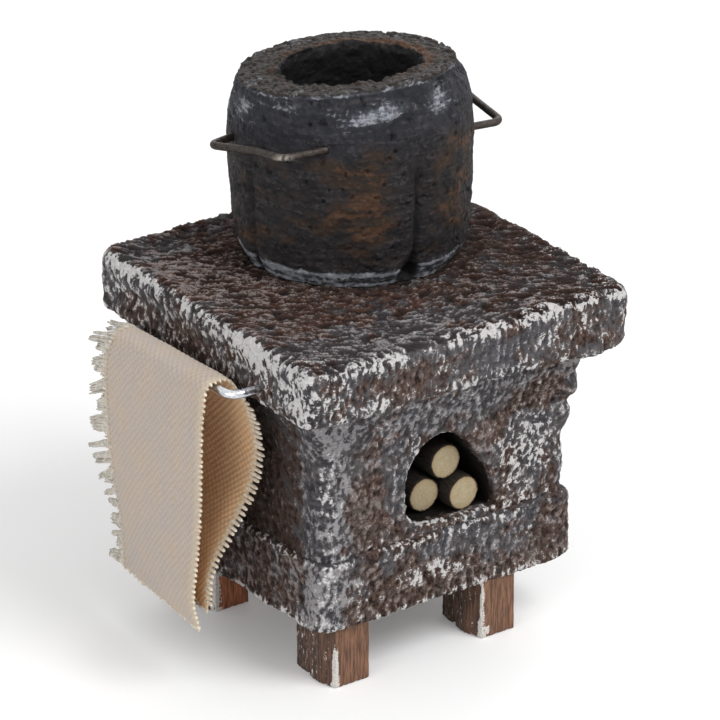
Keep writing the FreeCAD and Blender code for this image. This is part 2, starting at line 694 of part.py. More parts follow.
def make_cooking_pot(handles):
    body = new_body("PotBody")
    profile = new_sketch(body, "PotProfile", "XZ_Plane")

    def pot_place(shares):
        return [("pot_radius", shares[0])], [("pot_height", shares[1])]

    draw_outline(profile, [(pot_place(corner), None if via is None else pot_place(via))
                           for corner, via in POT_PROFILE_SHARES])
    turned = body.newObject("PartDesign::Revolution", "PotTurned")
    turned.Profile = profile
    turned.ReferenceAxis = (profile, ["V_Axis"])
    document.recompute()

    hollow = new_sketch(body, "PotHollow", "XZ_Plane")
    zero = [("pot_radius", 0)]
    floor = [("pot_floor", 1)]
    top = [("pot_height", 1), ("cut_overrun", 1)]
    foot = [("pot_mouth_radius", POT_HOLLOW_FOOT_SHARE)]
    draw_outline(hollow, [((foot, floor), None), (([("pot_mouth_radius", 1)], top), None),
                          ((zero, top), None), ((zero, floor), None)])
    cut_away(body, "Groove", "PotBore", hollow, {"ReferenceAxis": (hollow, ["V_Axis"])}, {})

    rim = new_sketch(body, "PotRim", "YZ_Plane")
    rise = math.tan(math.radians(size("pot_rim_tilt")))
    reach = [("pot_radius", 1), ("cut_overrun", 1)]
    less = [(name, -share) for name, share in reach]
    high = [("pot_height", 1)] + [(name, share * rise) for name, share in reach]
    low = [("pot_height", 1)] + [(name, -share * rise) for name, share in reach]
    above = [("pot_height", 1), ("pot_radius", 1), ("cut_overrun", 1)]
    draw_outline(rim, [((reach, low), None), ((reach, above), None),
                       ((less, above), None), ((less, high), None)])
    cut_away(body, "Pocket", "PotRimCut", rim, {"Midplane": True},
             {"Length": "4 * " + cell("pot_radius")})
    round_edges(body, "PotRimWear",
                lambda edge: edge.BoundBox.ZMin > size("pot_height") / 2
                and edge.BoundBox.XLength > 2 * size("pot_mouth_radius")
                + size("cut_overrun"), cell("pot_rim_round"))
    body.Placement.Rotation = FreeCAD.Rotation(FreeCAD.Vector(0, 0, 1), 1)
    place(body, cell("stove_x") + " + " + cell("pot_x"), cell("pot_y"),
          pot_foot, cell("pot_rim_turn"))
    document.recompute()

    # The holes that the four wire ends are pushed into
    drills = []
    for handle, shares in handles:
        ends = [vector(corner) for corner in seated_ends(shares)]
        for tip, before in ((ends[0], ends[1]), (ends[-1], ends[-2])):
            inward = (tip - before).normalize()
            drill = document.addObject("Part::Cylinder", "WireHole")
            drill.setExpression("Radius", "%s / 2 + %s" % (cell("handle_wire"),
                                                           cell("wire_clearance")))
            drill.setExpression("Height", "%s + %s" % (cell("handle_seat"),
                                                       cell("cut_overrun")))
            mouth = tip + inward * (size("wire_clearance") - size("handle_seat")
                                    - size("cut_overrun"))
            local = FreeCAD.Placement(
                mouth, FreeCAD.Rotation(FreeCAD.Vector(0, 0, 1), inward))
            drill.Placement = handle.Placement.multiply(local)
            drills.append(drill)
    holes = document.addObject("Part::MultiFuse", "WireHoles")
    holes.Shapes = drills
    pot = document.addObject("Part::Cut", "CookingPot")
    pot.Base = body
    pot.Tool = holes
    document.recompute()
    return finished(pot, "cooking_pot")


left_handle = make_handle("LeftHandle", "pot_handle_left", LEFT_HANDLE_SHARES,
                          "-" + cell("handle_tilt"))
right_handle = make_handle("RightHandle", "pot_handle_right", RIGHT_HANDLE_SHARES,
                           cell("handle_tilt"))
make_cooking_pot([(left_handle, LEFT_HANDLE_SHARES), (right_handle, RIGHT_HANDLE_SHARES)])


# Every object must have built, and every piece must be one sound solid
document.recompute()
for item in document.Objects:
    if "Invalid" in item.State or "Error" in item.State:
        raise ValueError("%s did not build: %s" % (item.Label, item.State))
for item in SUB_PARTS:
    shape = item.Shape
    if shape.isNull() or not shape.isValid() or len(shape.Solids) != 1:
        raise ValueError("%s is not one valid solid" % item.Label)

os.makedirs("parts", exist_ok=True)
for item in SUB_PARTS:
    item.Shape.exportStep("parts/%s.step" % item.Label)
    box = item.Shape.BoundBox
    print("%-20s x %7.2f %7.2f  y %7.2f %7.2f  z %7.2f %7.2f  volume %9.1f"
          % (item.Label, box.XMin, box.XMax, box.YMin, box.YMax, box.ZMin, box.ZMax,
             item.Shape.Volume))
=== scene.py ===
import itertools
import math

import bmesh
import bpy
import numpy as np
from mathutils import Matrix, Vector


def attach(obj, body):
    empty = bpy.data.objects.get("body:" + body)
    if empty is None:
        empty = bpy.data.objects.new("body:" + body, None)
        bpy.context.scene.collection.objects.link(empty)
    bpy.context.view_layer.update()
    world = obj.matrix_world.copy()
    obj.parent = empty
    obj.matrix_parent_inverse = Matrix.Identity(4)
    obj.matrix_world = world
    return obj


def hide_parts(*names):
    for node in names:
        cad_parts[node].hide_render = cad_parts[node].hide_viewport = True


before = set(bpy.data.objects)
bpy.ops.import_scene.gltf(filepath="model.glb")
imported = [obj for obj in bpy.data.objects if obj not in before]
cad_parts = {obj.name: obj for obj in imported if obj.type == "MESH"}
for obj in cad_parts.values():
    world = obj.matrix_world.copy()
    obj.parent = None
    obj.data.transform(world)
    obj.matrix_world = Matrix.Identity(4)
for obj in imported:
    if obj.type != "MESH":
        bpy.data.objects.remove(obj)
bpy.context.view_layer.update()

# Legs: four short offcuts of a stained moulding, glued under the hearth slab with the
# moulded face to the left. Their saw cuts are ragged, and their front arris is worn to the
# chalk-white dry brushing that the whole stove has.
MM = 0.001
# Places are in millimetres from the stove's middle, at the height of the floor
STOVE_MIDDLE = np.array([3.836, 0, 0])
LEG_HEIGHT = 7.8
LEG_CORNERS = {
    "front_left_leg": (-16.5, -18.0),
    "front_right_leg": (5.3, -18.0),
    "rear_left_leg": (-16.5, 6.85),
    "rear_right_leg": (5.3, 6.85),
}
LEG_WIDTH, LEG_DEPTH = 4.9, 7.9
LEG_VOXEL = 0.11


def new_piece(name, data):
    """Put a mesh, a light or a lens into the scene under its own name."""
    piece = bpy.data.objects.new(name, data)
    bpy.context.scene.collection.objects.link(piece)
    return piece


def smooth(mesh):
    mesh.polygons.foreach_set("use_smooth", [True] * len(mesh.polygons))
    return mesh


def even_copy(node, name, voxel):
    """A closed copy of one node's mesh, remeshed evenly and finely enough to carve."""
    welded = bmesh.new()
    welded.from_mesh(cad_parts[node].data)
    bmesh.ops.remove_doubles(welded, verts=welded.verts, dist=0.0002 * MM)
    mesh = bpy.data.meshes.new(name)
    welded.to_mesh(mesh)
    welded.free()
    piece = new_piece(name, mesh)
    even = piece.modifiers.new("Even", "REMESH")
    even.mode = "VOXEL"
    even.voxel_size = voxel * MM
    drawn = piece.evaluated_get(bpy.context.evaluated_depsgraph_get())
    remeshed = bpy.data.meshes.new_from_object(drawn)
    piece.modifiers.clear()
    piece.data = smooth(remeshed)
    remeshed.name = name
    return piece


def skin_of(mesh):
    """The place in millimetres and the normal of each of a mesh's points."""
    flat = np.empty((2, len(mesh.vertices) * 3), np.float32)
    mesh.vertices.foreach_get("co", flat[0])
    mesh.vertex_normals.foreach_get("vector", flat[1])
    places, normals = flat.reshape(2, -1, 3).astype(float)
    return places / MM - STOVE_MIDDLE, normals


def move_points(mesh, points):
    place = (points + STOVE_MIDDLE) * MM
    mesh.vertices.foreach_set("co", place.astype(np.float32).ravel())
    mesh.update()


def paint_on(mesh, **layers):
    """Keep a number from 0 to 1 for each point under each name, for a material to read."""
    for name, values in layers.items():
        layer = mesh.attributes.new(name, "FLOAT", "POINT")
        on_points = np.broadcast_to(np.clip(values, 0, 1), len(mesh.vertices))
        layer.data.foreach_set("value", on_points.astype(np.float32))


def ranked(values):
    """The same values spread evenly from 0 to 1, so that a share of them is easy to pick."""
    order = np.empty(len(values))
    order[np.argsort(values, kind="stable")] = np.linspace(0, 1, len(values))
    return order


def soft_step(value, low, high):
    share = np.clip((value - low) / (high - low), 0, 1)
    return share * share * (3 - 2 * share)


LEFT, FRONT, UP, DOWN = (-1, 0, 0), (0, -1, 0), (0, 0, 1), (0, 0, -1)


def facing(normals, way, low=0.3, high=0.7):
    """1 where the skin faces one way, and 0 where it faces off to the side."""
    return soft_step(normals @ np.array(way, float), low, high)


def hump(gap, reach):
    """1 where there is no gap, and about a third one reach away."""
    return np.exp(-((gap / reach) ** 2))


def waves(points, seed):
    """Smooth random heights from about -1 to 1, at points given in cells of the pattern."""
    draw = np.random.default_rng(seed)
    order = draw.permutation(256)
    order = np.concatenate([order, order])
    slopes = draw.normal(size=(256, 3))
    slopes /= np.linalg.norm(slopes, axis=1)[:, None]
    cell = np.floor(points).astype(int)
    inside = points - cell
    ease = inside ** 3 * (inside * (inside * 6 - 15) + 10)
    total = np.zeros(len(points))
    for corner in itertools.product((0, 1), repeat=3):
        x, y, z = ((cell + corner) & 255).T
        lean = (slopes[order[order[order[x] + y] + z]] * (inside - corner)).sum(1)
        share = np.where(np.array(corner) == 1, ease, 1 - ease).prod(1)
        total += lean * share
    return total * 1.5


def rough(points, seed, octaves=3):
    """Waves with finer and finer waves on them."""
    return sum(waves(points * 2 ** step, seed + step) / 2 ** step for step in range(octaves))


def new_material(name):
    material = bpy.data.materials.new(name)
    material.use_nodes = True
    return material, material.node_tree, material.node_tree.nodes["Principled BSDF"]


def plug(tree, socket, value):
    """Set a socket to a value, or feed it from another socket or from a painted layer."""
    if isinstance(value, str):
        value = painted(tree, value)
    if isinstance(value, bpy.types.NodeSocket):
        tree.links.new(value, socket)
    else:
        socket.default_value = value


def add_node(tree, kind, inputs=(), **settings):
    """Add one node, set it up, and feed it from values and from other nodes' sockets."""
    made = tree.nodes.new(kind)
    for setting, value in settings.items():
        setattr(made, setting, value)
    for socket, value in dict(inputs).items():
        plug(tree, made.inputs[socket], value)
    return made


def millimetres(tree, cell=1.0):
    """The surface's own place, in cells of one size in millimetres, or of three along XYZ."""
    place = add_node(tree, "ShaderNodeTexCoord").outputs["Object"]
    scale = tuple(1 / (MM * side) for side in np.broadcast_to(cell, 3))
    return add_node(tree, "ShaderNodeVectorMath", {0: place, 1: scale},
                    operation="MULTIPLY").outputs[0]


def noise(tree, place, detail=2.0, roughness=0.5, distortion=0.0, scale=1.0):
    made = add_node(tree, "ShaderNodeTexNoise", {
        "Vector": place, "Scale": scale, "Detail": detail, "Roughness": roughness,
        "Distortion": distortion})
    return made.outputs[0]


def ramp(tree, value, low, high, start=0.0, end=1.0):
    return add_node(tree, "ShaderNodeMapRange", {
        "Value": value, "From Min": low, "From Max": high, "To Min": start, "To Max": end},
        interpolation_type="SMOOTHSTEP").outputs[0]


def maths(tree, operation, first, second=0.0):
    return add_node(tree, "ShaderNodeMath", {0: first, 1: second},
                    operation=operation).outputs[0]


def colour(red, green, blue):
    """A colour as seen on screen, in the form that a shader wants."""
    linear = [value / 255 / 12.92 if value <= 10 else ((value / 255 + 0.055) / 1.055) ** 2.4
              for value in (red, green, blue)]
    return (*linear, 1.0)


def mix(tree, share, first, second, strength=1.0):
    """Lay the second colour over the first by a share, times a strength. A colour is another
    node's socket, or its red, green and blue as seen on screen from 0 to 255."""
    if strength != 1.0:
        share = maths(tree, "MULTIPLY", share, strength)
    first, second = (tint if isinstance(tint, bpy.types.NodeSocket) else colour(*tint)
                     for tint in (first, second))
    return add_node(tree, "ShaderNodeMix", {0: share, 6: first, 7: second},
                    data_type="RGBA").outputs[2]


def mix_number(tree, share, first, second):
    return add_node(tree, "ShaderNodeMix", {0: share, 2: first, 3: second},
                    data_type="FLOAT").outputs[0]


def grains(tree, cell, detail=3.0, roughness=0.6):
    """Noise with its contrast drawn out, so that it runs from about 0 to 1."""
    return ramp(tree, noise(tree, millimetres(tree, cell), detail, roughness), 0.28, 0.72)


def painted(tree, name):
    """The number that paint_on kept under a name."""
    return add_node(tree, "ShaderNodeAttribute", attribute_name=name).outputs["Fac"]


def feed(tree, shader, **sockets):
    for name, value in sockets.items():
        plug(tree, shader.inputs[name.replace("_", " ")], value)


def bump(tree, height, distance, strength=1.0):
    return add_node(tree, "ShaderNodeBump", {
        "Height": height, "Distance": distance * MM, "Strength": strength}).outputs[0]


def dress(piece, material, body, node):
    """Give a piece its material, and let it stand for its node and move with its body."""
    piece.data.materials.append(material)
    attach(piece, body)
    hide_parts(node)


# Dry brushing: chalky paint dragged over the high places. Cover is the share of the surface
# that the paint takes, from its highest grains down, and Speck the size of its flecks.
brush = bpy.data.node_groups.new("Dry brushing", "ShaderNodeTree")
BRUSH_SETTINGS = {"Height": 0.5, "Cover": 0.0, "Speck": 0.35, "Grip": 0.5, "Softness": 0.08}
for label, usual in BRUSH_SETTINGS.items():
    brush_socket = brush.interface.new_socket(label, in_out="INPUT",
                                              socket_type="NodeSocketFloat")
    brush_socket.default_value = usual
brush.interface.new_socket("Mask", in_out="OUTPUT", socket_type="NodeSocketFloat")
brush_in = brush.nodes.new("NodeGroupInput").outputs
brush_place = millimetres(brush)
brush_grit = noise(brush, brush_place, 3.0, 0.6,
                   scale=maths(brush, "DIVIDE", 1.0, brush_in["Speck"]))
brush_swirl = noise(brush, brush_place, 1.0, 0.5, 0.9,
                    maths(brush, "DIVIDE", 0.45, brush_in["Speck"]))
brush_curls = ramp(brush, maths(brush, "ABSOLUTE", maths(brush, "SUBTRACT", brush_swirl, 0.5)),
                   0.0, 0.085, 1.0, 0.0)
brush_spread = maths(brush, "MULTIPLY", maths(brush, "SUBTRACT", brush_grit, 0.5), 3.2)
brush_marks = mix_number(brush, 0.55, maths(brush, "ADD", brush_spread, 0.5), brush_curls)
brush_level = mix_number(brush, brush_in["Grip"], brush_marks, brush_in["Height"])
brush_edge = ramp(brush, maths(brush, "ADD", brush_level, brush_in["Cover"]),
                  maths(brush, "SUBTRACT", 1.01, brush_in["Softness"]),
                  maths(brush, "ADD", 1.01, brush_in["Softness"]))
brush_thin = ramp(brush, brush_grit, 0.3, 0.6, 0.7, 1.0)
brush_loaded = ramp(brush, brush_in["Cover"], 0.0, 0.08)
brush_mask = maths(brush, "MULTIPLY", maths(brush, "MULTIPLY", brush_edge, brush_thin),
                   brush_loaded)
plug(brush, brush.nodes.new("NodeGroupOutput").inputs["Mask"], brush_mask)


def brushed(tree, **settings):
    """How much dry-brushed paint shows on each point of the surface."""
    return add_node(tree, "ShaderNodeGroup", settings, node_tree=brush).outputs["Mask"]


def carve_leg(name, corner):
    piece = even_copy(name, name + "_stained", LEG_VOXEL)
    mesh = piece.data
    points, normals = skin_of(mesh)
    across, back, up = points[:, 0] - corner[0], points[:, 1] - corner[1], points[:, 2]
    share = back / LEG_DEPTH
    on_face = facing(normals, LEFT, 0.4, 0.8)
    combed = on_face * (soft_step(share, 0.34, 0.38) - soft_step(share, 0.56, 0.6)
                        + soft_step(share, 0.66, 0.7))
    grain = rough(points / (0.28, 0.28, 3.2), 11)
    comb = rough(points / (0.34, 0.2, 0.8), 12)
    saw = waves(points / (0.6, 0.6, 1.3), 13)
    foot = 1 - soft_step(up, 0.0, 1.1)
    near = np.hypot(across, back)
    worn = hump(near, 0.45)
    reach = 0.05 * grain - 0.14 * combed * np.abs(comb) - 0.2 * worn * np.clip(saw, 0, 1)
    side = 1 - soft_step(np.abs(normals[:, 2]), 0.3, 0.7)
    points = points + normals * (reach * side)[:, None]
    rim = foot * soft_step(np.maximum(np.abs(across / LEG_WIDTH - 0.5),
                                      np.abs(share - 0.5)), 0.4, 0.5)
    points[:, 2] += rim * np.maximum(0, 0.3 * saw + 0.15 * comb)
    points[:, 2] = np.clip(points[:, 2], 0, None)
    move_points(mesh, points)
    low = np.clip(1 - up / LEG_HEIGHT, 0, 1)
    wedge = 0.16 + 0.44 * low ** 1.5 + 0.22 * saw
    cover = 0.85 * (1 - soft_step(near, wedge, wedge + 0.22))
    if name == "front_left_leg":
        cover *= soft_step(low, 0.16, 0.42)
    if name == "front_right_leg":
        cover = np.maximum(cover, 0.8 * (np.hypot(across - 0.7, up - 0.9) < 0.55 + 0.4 * saw)
                           * (back < 0.3))
    if name == "rear_left_leg":
        cover = np.maximum(cover, 0.75 * (1 - soft_step(near, 0.5, 1.1 + 0.5 * saw)))
    # The rear left leg is marked for a redder, lighter colour: partly its own tone, partly
    # painted light.
    paint_on(mesh, cover=cover + on_face * (0.13 + 0.2 * comb), combed=combed, moulded=on_face,
             height=ranked(np.where(combed > 0.3, comb, grain)),
             reddish=0.9 * (name == "rear_left_leg"))
    return piece


stain, tree, shader = new_material("Stained moulding")
streak = grains(tree, (0.26, 0.26, 2.6), 4.0, 0.65)
cloud = grains(tree, (2.0, 2.0, 3.0), 2.0)
plain = mix(tree, streak, (58, 37, 25), (148, 106, 80))
plain = mix(tree, cloud, plain, (98, 69, 51), 0.4)
# The rear left leg is redder and lighter than the others: partly its own tone, partly painted
# light on a leg that stands in the shade of the hearth and the towel.
plain = mix(tree, "reddish", plain, mix(tree, streak, (92, 50, 32), (192, 120, 82)))
shade = mix(tree, streak, (34, 20, 13), (110, 78, 59))
wood = mix(tree, "moulded", plain, shade)
wood = mix(tree, "combed", wood, mix(tree, "height", (24, 15, 12), (100, 78, 68)), 0.9)
white = brushed(tree, Cover="cover", Height="height", Speck=0.3)
feed(tree, shader, Base_Color=mix(tree, white, wood, (210, 206, 200)), Roughness=0.72,
     Normal=bump(tree, streak, 0.05, 0.6))
for leg_name, leg_corner in LEG_CORNERS.items():
    leg = carve_leg(leg_name, leg_corner)
    dress(leg, stain, "stove", leg_name)

# Hearth slab: the lower block of natural cork, skimmed in places with grey plaster. Its
# ledge shows all round the firebox block, and its upper arris is dry-brushed white.
HEARTH_LOW, HEARTH_HIGH = (-18.9, -18.4, 7.8), (18.9, 18.4, 16.3)
CORK_VOXEL = 0.19


def arris_gap(points, low, high):
    """How far each point on a block's skin is from the nearest arris."""
    gaps = np.minimum(points - np.array(low), np.array(high) - points)
    return np.sort(np.abs(gaps), axis=1)[:, 1]


def patches(points, spots):
    """Soft blobs: each spot is its middle, its reach each way, and its strength."""
    total = np.zeros(len(points))
    for *places, strength in spots:
        middle, reach = np.array(places, float).reshape(2, 3)
        gap = ((points - middle) / reach) ** 2
        total = np.maximum(total, strength * np.exp(-gap.sum(1)))
    return total


def crests(cells, seed, octaves=2):
    """Thin crests with broad hollows between them, from about 0 to 1."""
    return 1 - np.clip(2.1 * np.abs(rough(cells, seed, octaves)), 0, 1)


def carve_cork(piece, cells, arris, calm, seed, swell, sliced=0.0):
    """Raise grains on the cork's skin, or crests where it is sliced, and crumble its
    arrises. Cells gives each point in cells of the grain, calm keeps a place as it is and
    swell builds it up. Gives back how high each point stands, ranked from 0 to 1."""
    mesh = piece.data
    points, normals = skin_of(mesh)
    bend = 0.4 * np.stack([waves(points / 2.2, seed + step) for step in (1, 2, 3)], axis=1)
    ridges = 0.62 * crests(cells + bend, seed + 10) + 0.38 * crests(2.1 * cells + bend, seed + 50)
    lumps = rough(points / 4.5, seed, 2)
    pits = soft_step(rough(cells * 0.9 + 7.3, seed + 20, 2), 0.52, 0.8)
    chips = arris * soft_step(rough(points / 1.4, seed + 40, 2), 0.15, 0.65)
    crumbs = rough(points / 0.6, seed + 30, 3)
    grain = ((0.4 + 0.6 * sliced) * (ridges - ridges.mean()) - 0.6 * pits
             + 0.55 * (1 - sliced) * rough(1.7 * cells + bend, seed + 60, 2)
             + (0.22 - 0.12 * sliced) * crumbs)
    shape = (0.27 + 0.38 * sliced) * grain + 0.22 * lumps - 0.3 * chips
    shape = np.where(shape > 0, 0.45 * np.tanh(shape / 0.45), np.maximum(shape, -0.8))
    shape = shape * (1 - calm) + swell
    move_points(mesh, points + normals * shape[:, None])
    return ranked(grain + 0.06 * lumps)


def near_column(points, corner, reach):
    """Share of plaster beside the upright corner that faces the viewer."""
    gap = np.hypot(points[:, 0] - corner[0], points[:, 1] - corner[1])
    return 1 - soft_step(gap + 1.2 * rough(points / 2.4, 47, 2), reach * 0.5, reach)


hearth = even_copy("hearth_slab", "hearth_slab_cork", CORK_VOXEL)
hearth_points, hearth_normals = skin_of(hearth.data)
hearth_gap = arris_gap(hearth_points, HEARTH_LOW, HEARTH_HIGH)
hearth_arris = hump(hearth_gap, 0.8)
hearth_up = soft_step(np.abs(hearth_normals[:, 2]), 0.5, 0.9)
hearth_low = 1 - soft_step(hearth_points[:, 2], 8.0, 9.5)
hearth_height = carve_cork(
    hearth, hearth_points / (1.1, 1.1, 1.5), hearth_arris,
    0.8 * hearth_up * (1 - hearth_arris), 21, (0.2 + 0.25 * hearth_low) * hearth_arris)
hearth_front, hearth_left = facing(hearth_normals, FRONT), facing(hearth_normals, LEFT)
hearth_column = near_column(hearth_points, HEARTH_LOW, 5.0)
hearth_plaster = (
    0.38 + 0.5 * hearth_column
    + patches(hearth_points, [
        (2, -18.4, 14.8, 11, 2, 1.8, 0.5), (11, -18.4, 13, 6, 2, 3, 0.35),
        (18.9, 0, 12, 2, 12, 4, 0.4)])
    - patches(hearth_points, [
        (-8, -18.4, 9, 8, 3, 2.0, 0.5), (16, -18.4, 10.5, 3.5, 3, 3, 0.5),
        (-18.9, 4, 11, 2, 12, 3.4, 0.2)])
    + 0.3 * rough(hearth_points / 4, 24, 3))
hearth_cover = (
    0.04 + 0.1 * hearth_front + 0.2 * hearth_arris + 0.16 * rough(hearth_points / 3.2, 25, 2)
    + patches(hearth_points, [
        (-1.3, -18.4, 11.6, 6.0, 3, 1.3, 0.38), (-17.2, -17.6, 12, 1.4, 1.8, 5, 0.2),
        (2, -18.2, 8.4, 14, 2, 0.6, 0.2), (-18.9, -8, 8.2, 2, 12, 0.6, 0.4),
        (1, -18.4, 15.9, 9, 2, 0.5, 0.16), (-18.9, -6, 16.1, 1.2, 12, 0.4, 0.28)]))
paint_on(hearth.data, height=hearth_height, plaster=hearth_plaster, cover=hearth_cover,
         soot=0, combed=0, shade=0.15 * hearth_left * (1 - hearth_column),
         dust=0.28 - 0.2 * hearth_up + 0.08 * hearth_front + 0.1 * hearth_left
         + 0.24 * hearth_column + 0.14 * rough(hearth_points / 2.5, 27, 2))

# The cork is stained dark brown in its hollows and browner or greyer on its crests, then
# dusted with light grey, and last dry-brushed with white.
cork, tree, shader = new_material("Painted cork")
height = painted(tree, "height")
fleck = grains(tree, (0.36, 0.36, 0.3), 3.0, 0.7)
blotch = grains(tree, (2.4, 2.4, 2.0), 4.0, 0.65)
combed = painted(tree, "combed")
level = mix_number(tree, ramp(tree, combed, 0.0, 1.0, 0.38, 0.14), height, fleck)
brown = mix(tree, blotch, (80, 61, 53), (82, 72, 68))
grey = mix(tree, blotch, (67, 68, 74), (89, 85, 85))
skim_edge = maths(tree, "MULTIPLY", maths(tree, "SUBTRACT", blotch, 0.5), 0.5)
skim = ramp(tree, maths(tree, "ADD", "plaster", skim_edge), 0.3, 0.62)
brown = mix(tree, combed, brown, mix(tree, blotch, (74, 48, 37), (58, 46, 42)))
grey = mix(tree, combed, grey, (68, 64, 66))
body = mix(tree, skim, brown, grey)
hollow_end = ramp(tree, combed, 0.0, 1.0, 0.56, 0.7)
hollow = maths(tree, "MULTIPLY", ramp(tree, level, 0.04, hollow_end, 1.0, 0.0),
               ramp(tree, skim, 0.0, 1.0, 1.0, 0.7))
body = mix(tree, hollow, body, mix(tree, skim, (23, 15, 12), (32, 28, 29)))
body = mix(tree, "shade", body, (34, 22, 17))
dusting = brushed(tree, Cover="dust", Height=height, Speck=0.3, Softness=0.14,
                  Grip=ramp(tree, combed, 0.0, 1.0, 0.6, 0.76))
dust = mix(tree, combed, (136, 125, 121), (151, 141, 138))
body = mix(tree, dusting, body, mix(tree, skim, dust, (154, 151, 153)), 0.8)
white = brushed(tree, Cover="cover", Height=height, Speck=0.34, Grip=0.6)
body = mix(tree, white, body, (205, 203, 202), 0.95)
# Near black in the fire opening and round the pot's foot: partly soot, partly painted shade.
body = mix(tree, "soot", body, (13, 8, 4))
feed(tree, shader, Base_Color=body, Roughness=ramp(tree, level, 0.0, 1.0, 0.95, 0.75),
     Specular_IOR_Level=0.22,
     Normal=bump(tree, mix_number(tree, 0.4, fleck, grains(tree, 0.15)), 0.09, 0.8))
dress(hearth, cork, "stove", "hearth_slab")

# Firebox block: the upper block of cork with the arched fire opening cut into its front.
# Plaster rounds off the joint under the top slab, and the opening is painted black: partly soot,
# partly painted shade deep inside it.
FIREBOX_LOW, FIREBOX_HIGH = (-18.2, -17.6, 16.3), (18.2, 17.6, 36.5)
NICHE_MIDDLE, NICHE_HALF_WIDTH = 0.8, 6.7
NICHE_FLOOR, NICHE_TOP, NICHE_BACK = 16.9, 28.7, 6.4
NICHE_MARGIN = 0.4

firebox = even_copy("firebox_block", "firebox_block_cork", CORK_VOXEL)
fire_points, fire_normals = skin_of(firebox.data)
fire_x, fire_y, fire_z = fire_points.T
in_niche = ((np.abs(fire_x - NICHE_MIDDLE) < NICHE_HALF_WIDTH + NICHE_MARGIN)
            & (fire_z > NICHE_FLOOR - NICHE_MARGIN) & (fire_z < NICHE_TOP + NICHE_MARGIN)
            & (fire_y < NICHE_BACK + NICHE_MARGIN))
niche_deep = np.where(in_niche, fire_y - FIREBOX_LOW[1], 0)
fire_gap = arris_gap(fire_points, FIREBOX_LOW, FIREBOX_HIGH)
fire_arris = hump(fire_gap, 0.8) * (1 - soft_step(fire_z, 28, 30))
fire_level = soft_step(np.abs(fire_normals[:, 2]), 0.6, 0.9) * (niche_deep < 0.3)
fire_bulge = patches(fire_points, [
    (20.5, -19.5, 32.5, 3.5, 3.5, 2.4, 1.3), (18.8, -17.8, 29.8, 2.4, 2.4, 2.2, 2.3),
    (18.4, -17.6, 26.6, 2.0, 2.0, 2.1, 1.6), (18.4, -17.6, 20.8, 1.6, 1.6, 2.0, 0.5)])
fire_swell = fire_bulge * (1 - fire_level) + 0.12 * fire_arris
fire_height = carve_cork(
    firebox, fire_points / (1.1, 1.1, 1.5), fire_arris,
    np.maximum(fire_level, 0.5 * (niche_deep > 2.5)), 31, fire_swell)
fire_front, fire_left = facing(fire_normals, FRONT), facing(fire_normals, LEFT)
fire_column = near_column(fire_points, FIREBOX_LOW, 5.0)
fire_plaster = (
    0.42 + 0.5 * fire_column
    + patches(fire_points, [
        (4, -17.6, 32.5, 16, 4, 3.4, 0.45), (-7, -17.6, 22, 3.2, 2, 7, 0.3),
        (12, -17.6, 26, 5, 2, 3, 0.3), (-18.2, -6, 34, 3, 14, 2.4, 0.3),
        (18.2, 0, 30, 2, 14, 5, 0.4)])
    - patches(fire_points, [
        (-11.5, -17.6, 21, 2.8, 2, 5, 0.5), (12, -17.6, 31, 4.5, 3, 2.2, 0.55),
        (-18.2, 4, 25, 2, 14, 9, 0.5)])
    + 0.3 * rough(fire_points / 4, 34, 3))
niche_rim = (in_niche & (niche_deep < 0.7) & (np.abs(fire_normals[:, 1]) < 0.9)) * (
    soft_step(NICHE_MIDDLE - fire_x, -1.5, 2.5))
fire_cover = (
    0.03 + 0.09 * fire_front + 0.14 * fire_arris + 0.5 * niche_rim
    + 0.12 * rough(fire_points / 3.2, 37, 2)
    + patches(fire_points, [
        (12.3, -17.6, 23.2, 4.8, 2, 5.8, 0.36), (17.4, -17.4, 24, 1.8, 2, 6, 0.28),
        (-4.4, -17.6, 26.8, 1.1, 0.5, 2.4, 0.4), (-16.9, -17.4, 24, 1.1, 1.5, 9, 0.24),
        (7, -17.4, 17.0, 8, 1.4, 0.5, 0.3), (-1, -17.6, 33, 16, 3, 2.5, 0.08)]))
# The fire opening is painted black, more so further in: partly soot, partly painted shade in the
# recess.
fire_soot = soft_step(niche_deep + 0.35 * rough(fire_points / 0.8, 36, 2)
                      - 0.8 * (fire_z < NICHE_FLOOR + 0.5), 0.25, 1.0)
fire_shade = (0.45 * fire_left * (1 - near_column(fire_points, FIREBOX_LOW, 6.0))
              * (1 - soft_step(niche_deep, 0.2, 0.6)))
paint_on(firebox.data, height=fire_height, plaster=fire_plaster, cover=fire_cover,
         soot=fire_soot, combed=0, shade=fire_shade,
         dust=0.27 + 0.18 * fire_column - 0.08 * fire_left
         + fire_front * (0.09 + 0.1 * soft_step(fire_z, 28.5, 31))
         + 0.14 * rough(fire_points / 2.5, 38, 2))
dress(firebox, cork, "stove", "firebox_block")

# Firewood: three twigs about 5 mm thick with the bark on, sawn to length and laid loose in
# the fire opening, two below and one on top. The pale cut ends show their rays and rings.
LOG_RADIUS, LOG_LENGTH = 2.3, 16.0
LOGS = {
    "firewood_log_left": ("left_log", (-1.143, -14.8, 19.75)),
    "firewood_log_right": ("right_log", (3.559, -16.4, 19.345)),
    "firewood_log_top": ("top_log", (1.56, -15.44, 23.62)),
}
LOG_SIDES, LOG_STEPS, LOG_RINGS = 150, 90, 30


def new_mesh(name, points, faces):
    """A smooth mesh of points in millimetres from the stove's middle."""
    mesh = bpy.data.meshes.new(name)
    mesh.from_pydata(((points + STOVE_MIDDLE) * MM).tolist(), [], faces)
    return smooth(mesh)


def ring_faces(rings, sides):
    """Faces from each ring of points to the next one along."""
    faces = []
    for start in range(0, (rings - 1) * sides, sides):
        for side in range(sides):
            after = (side + 1) % sides
            faces.append((start + side, start + after, start + sides + after,
                          start + sides + side))
    return faces


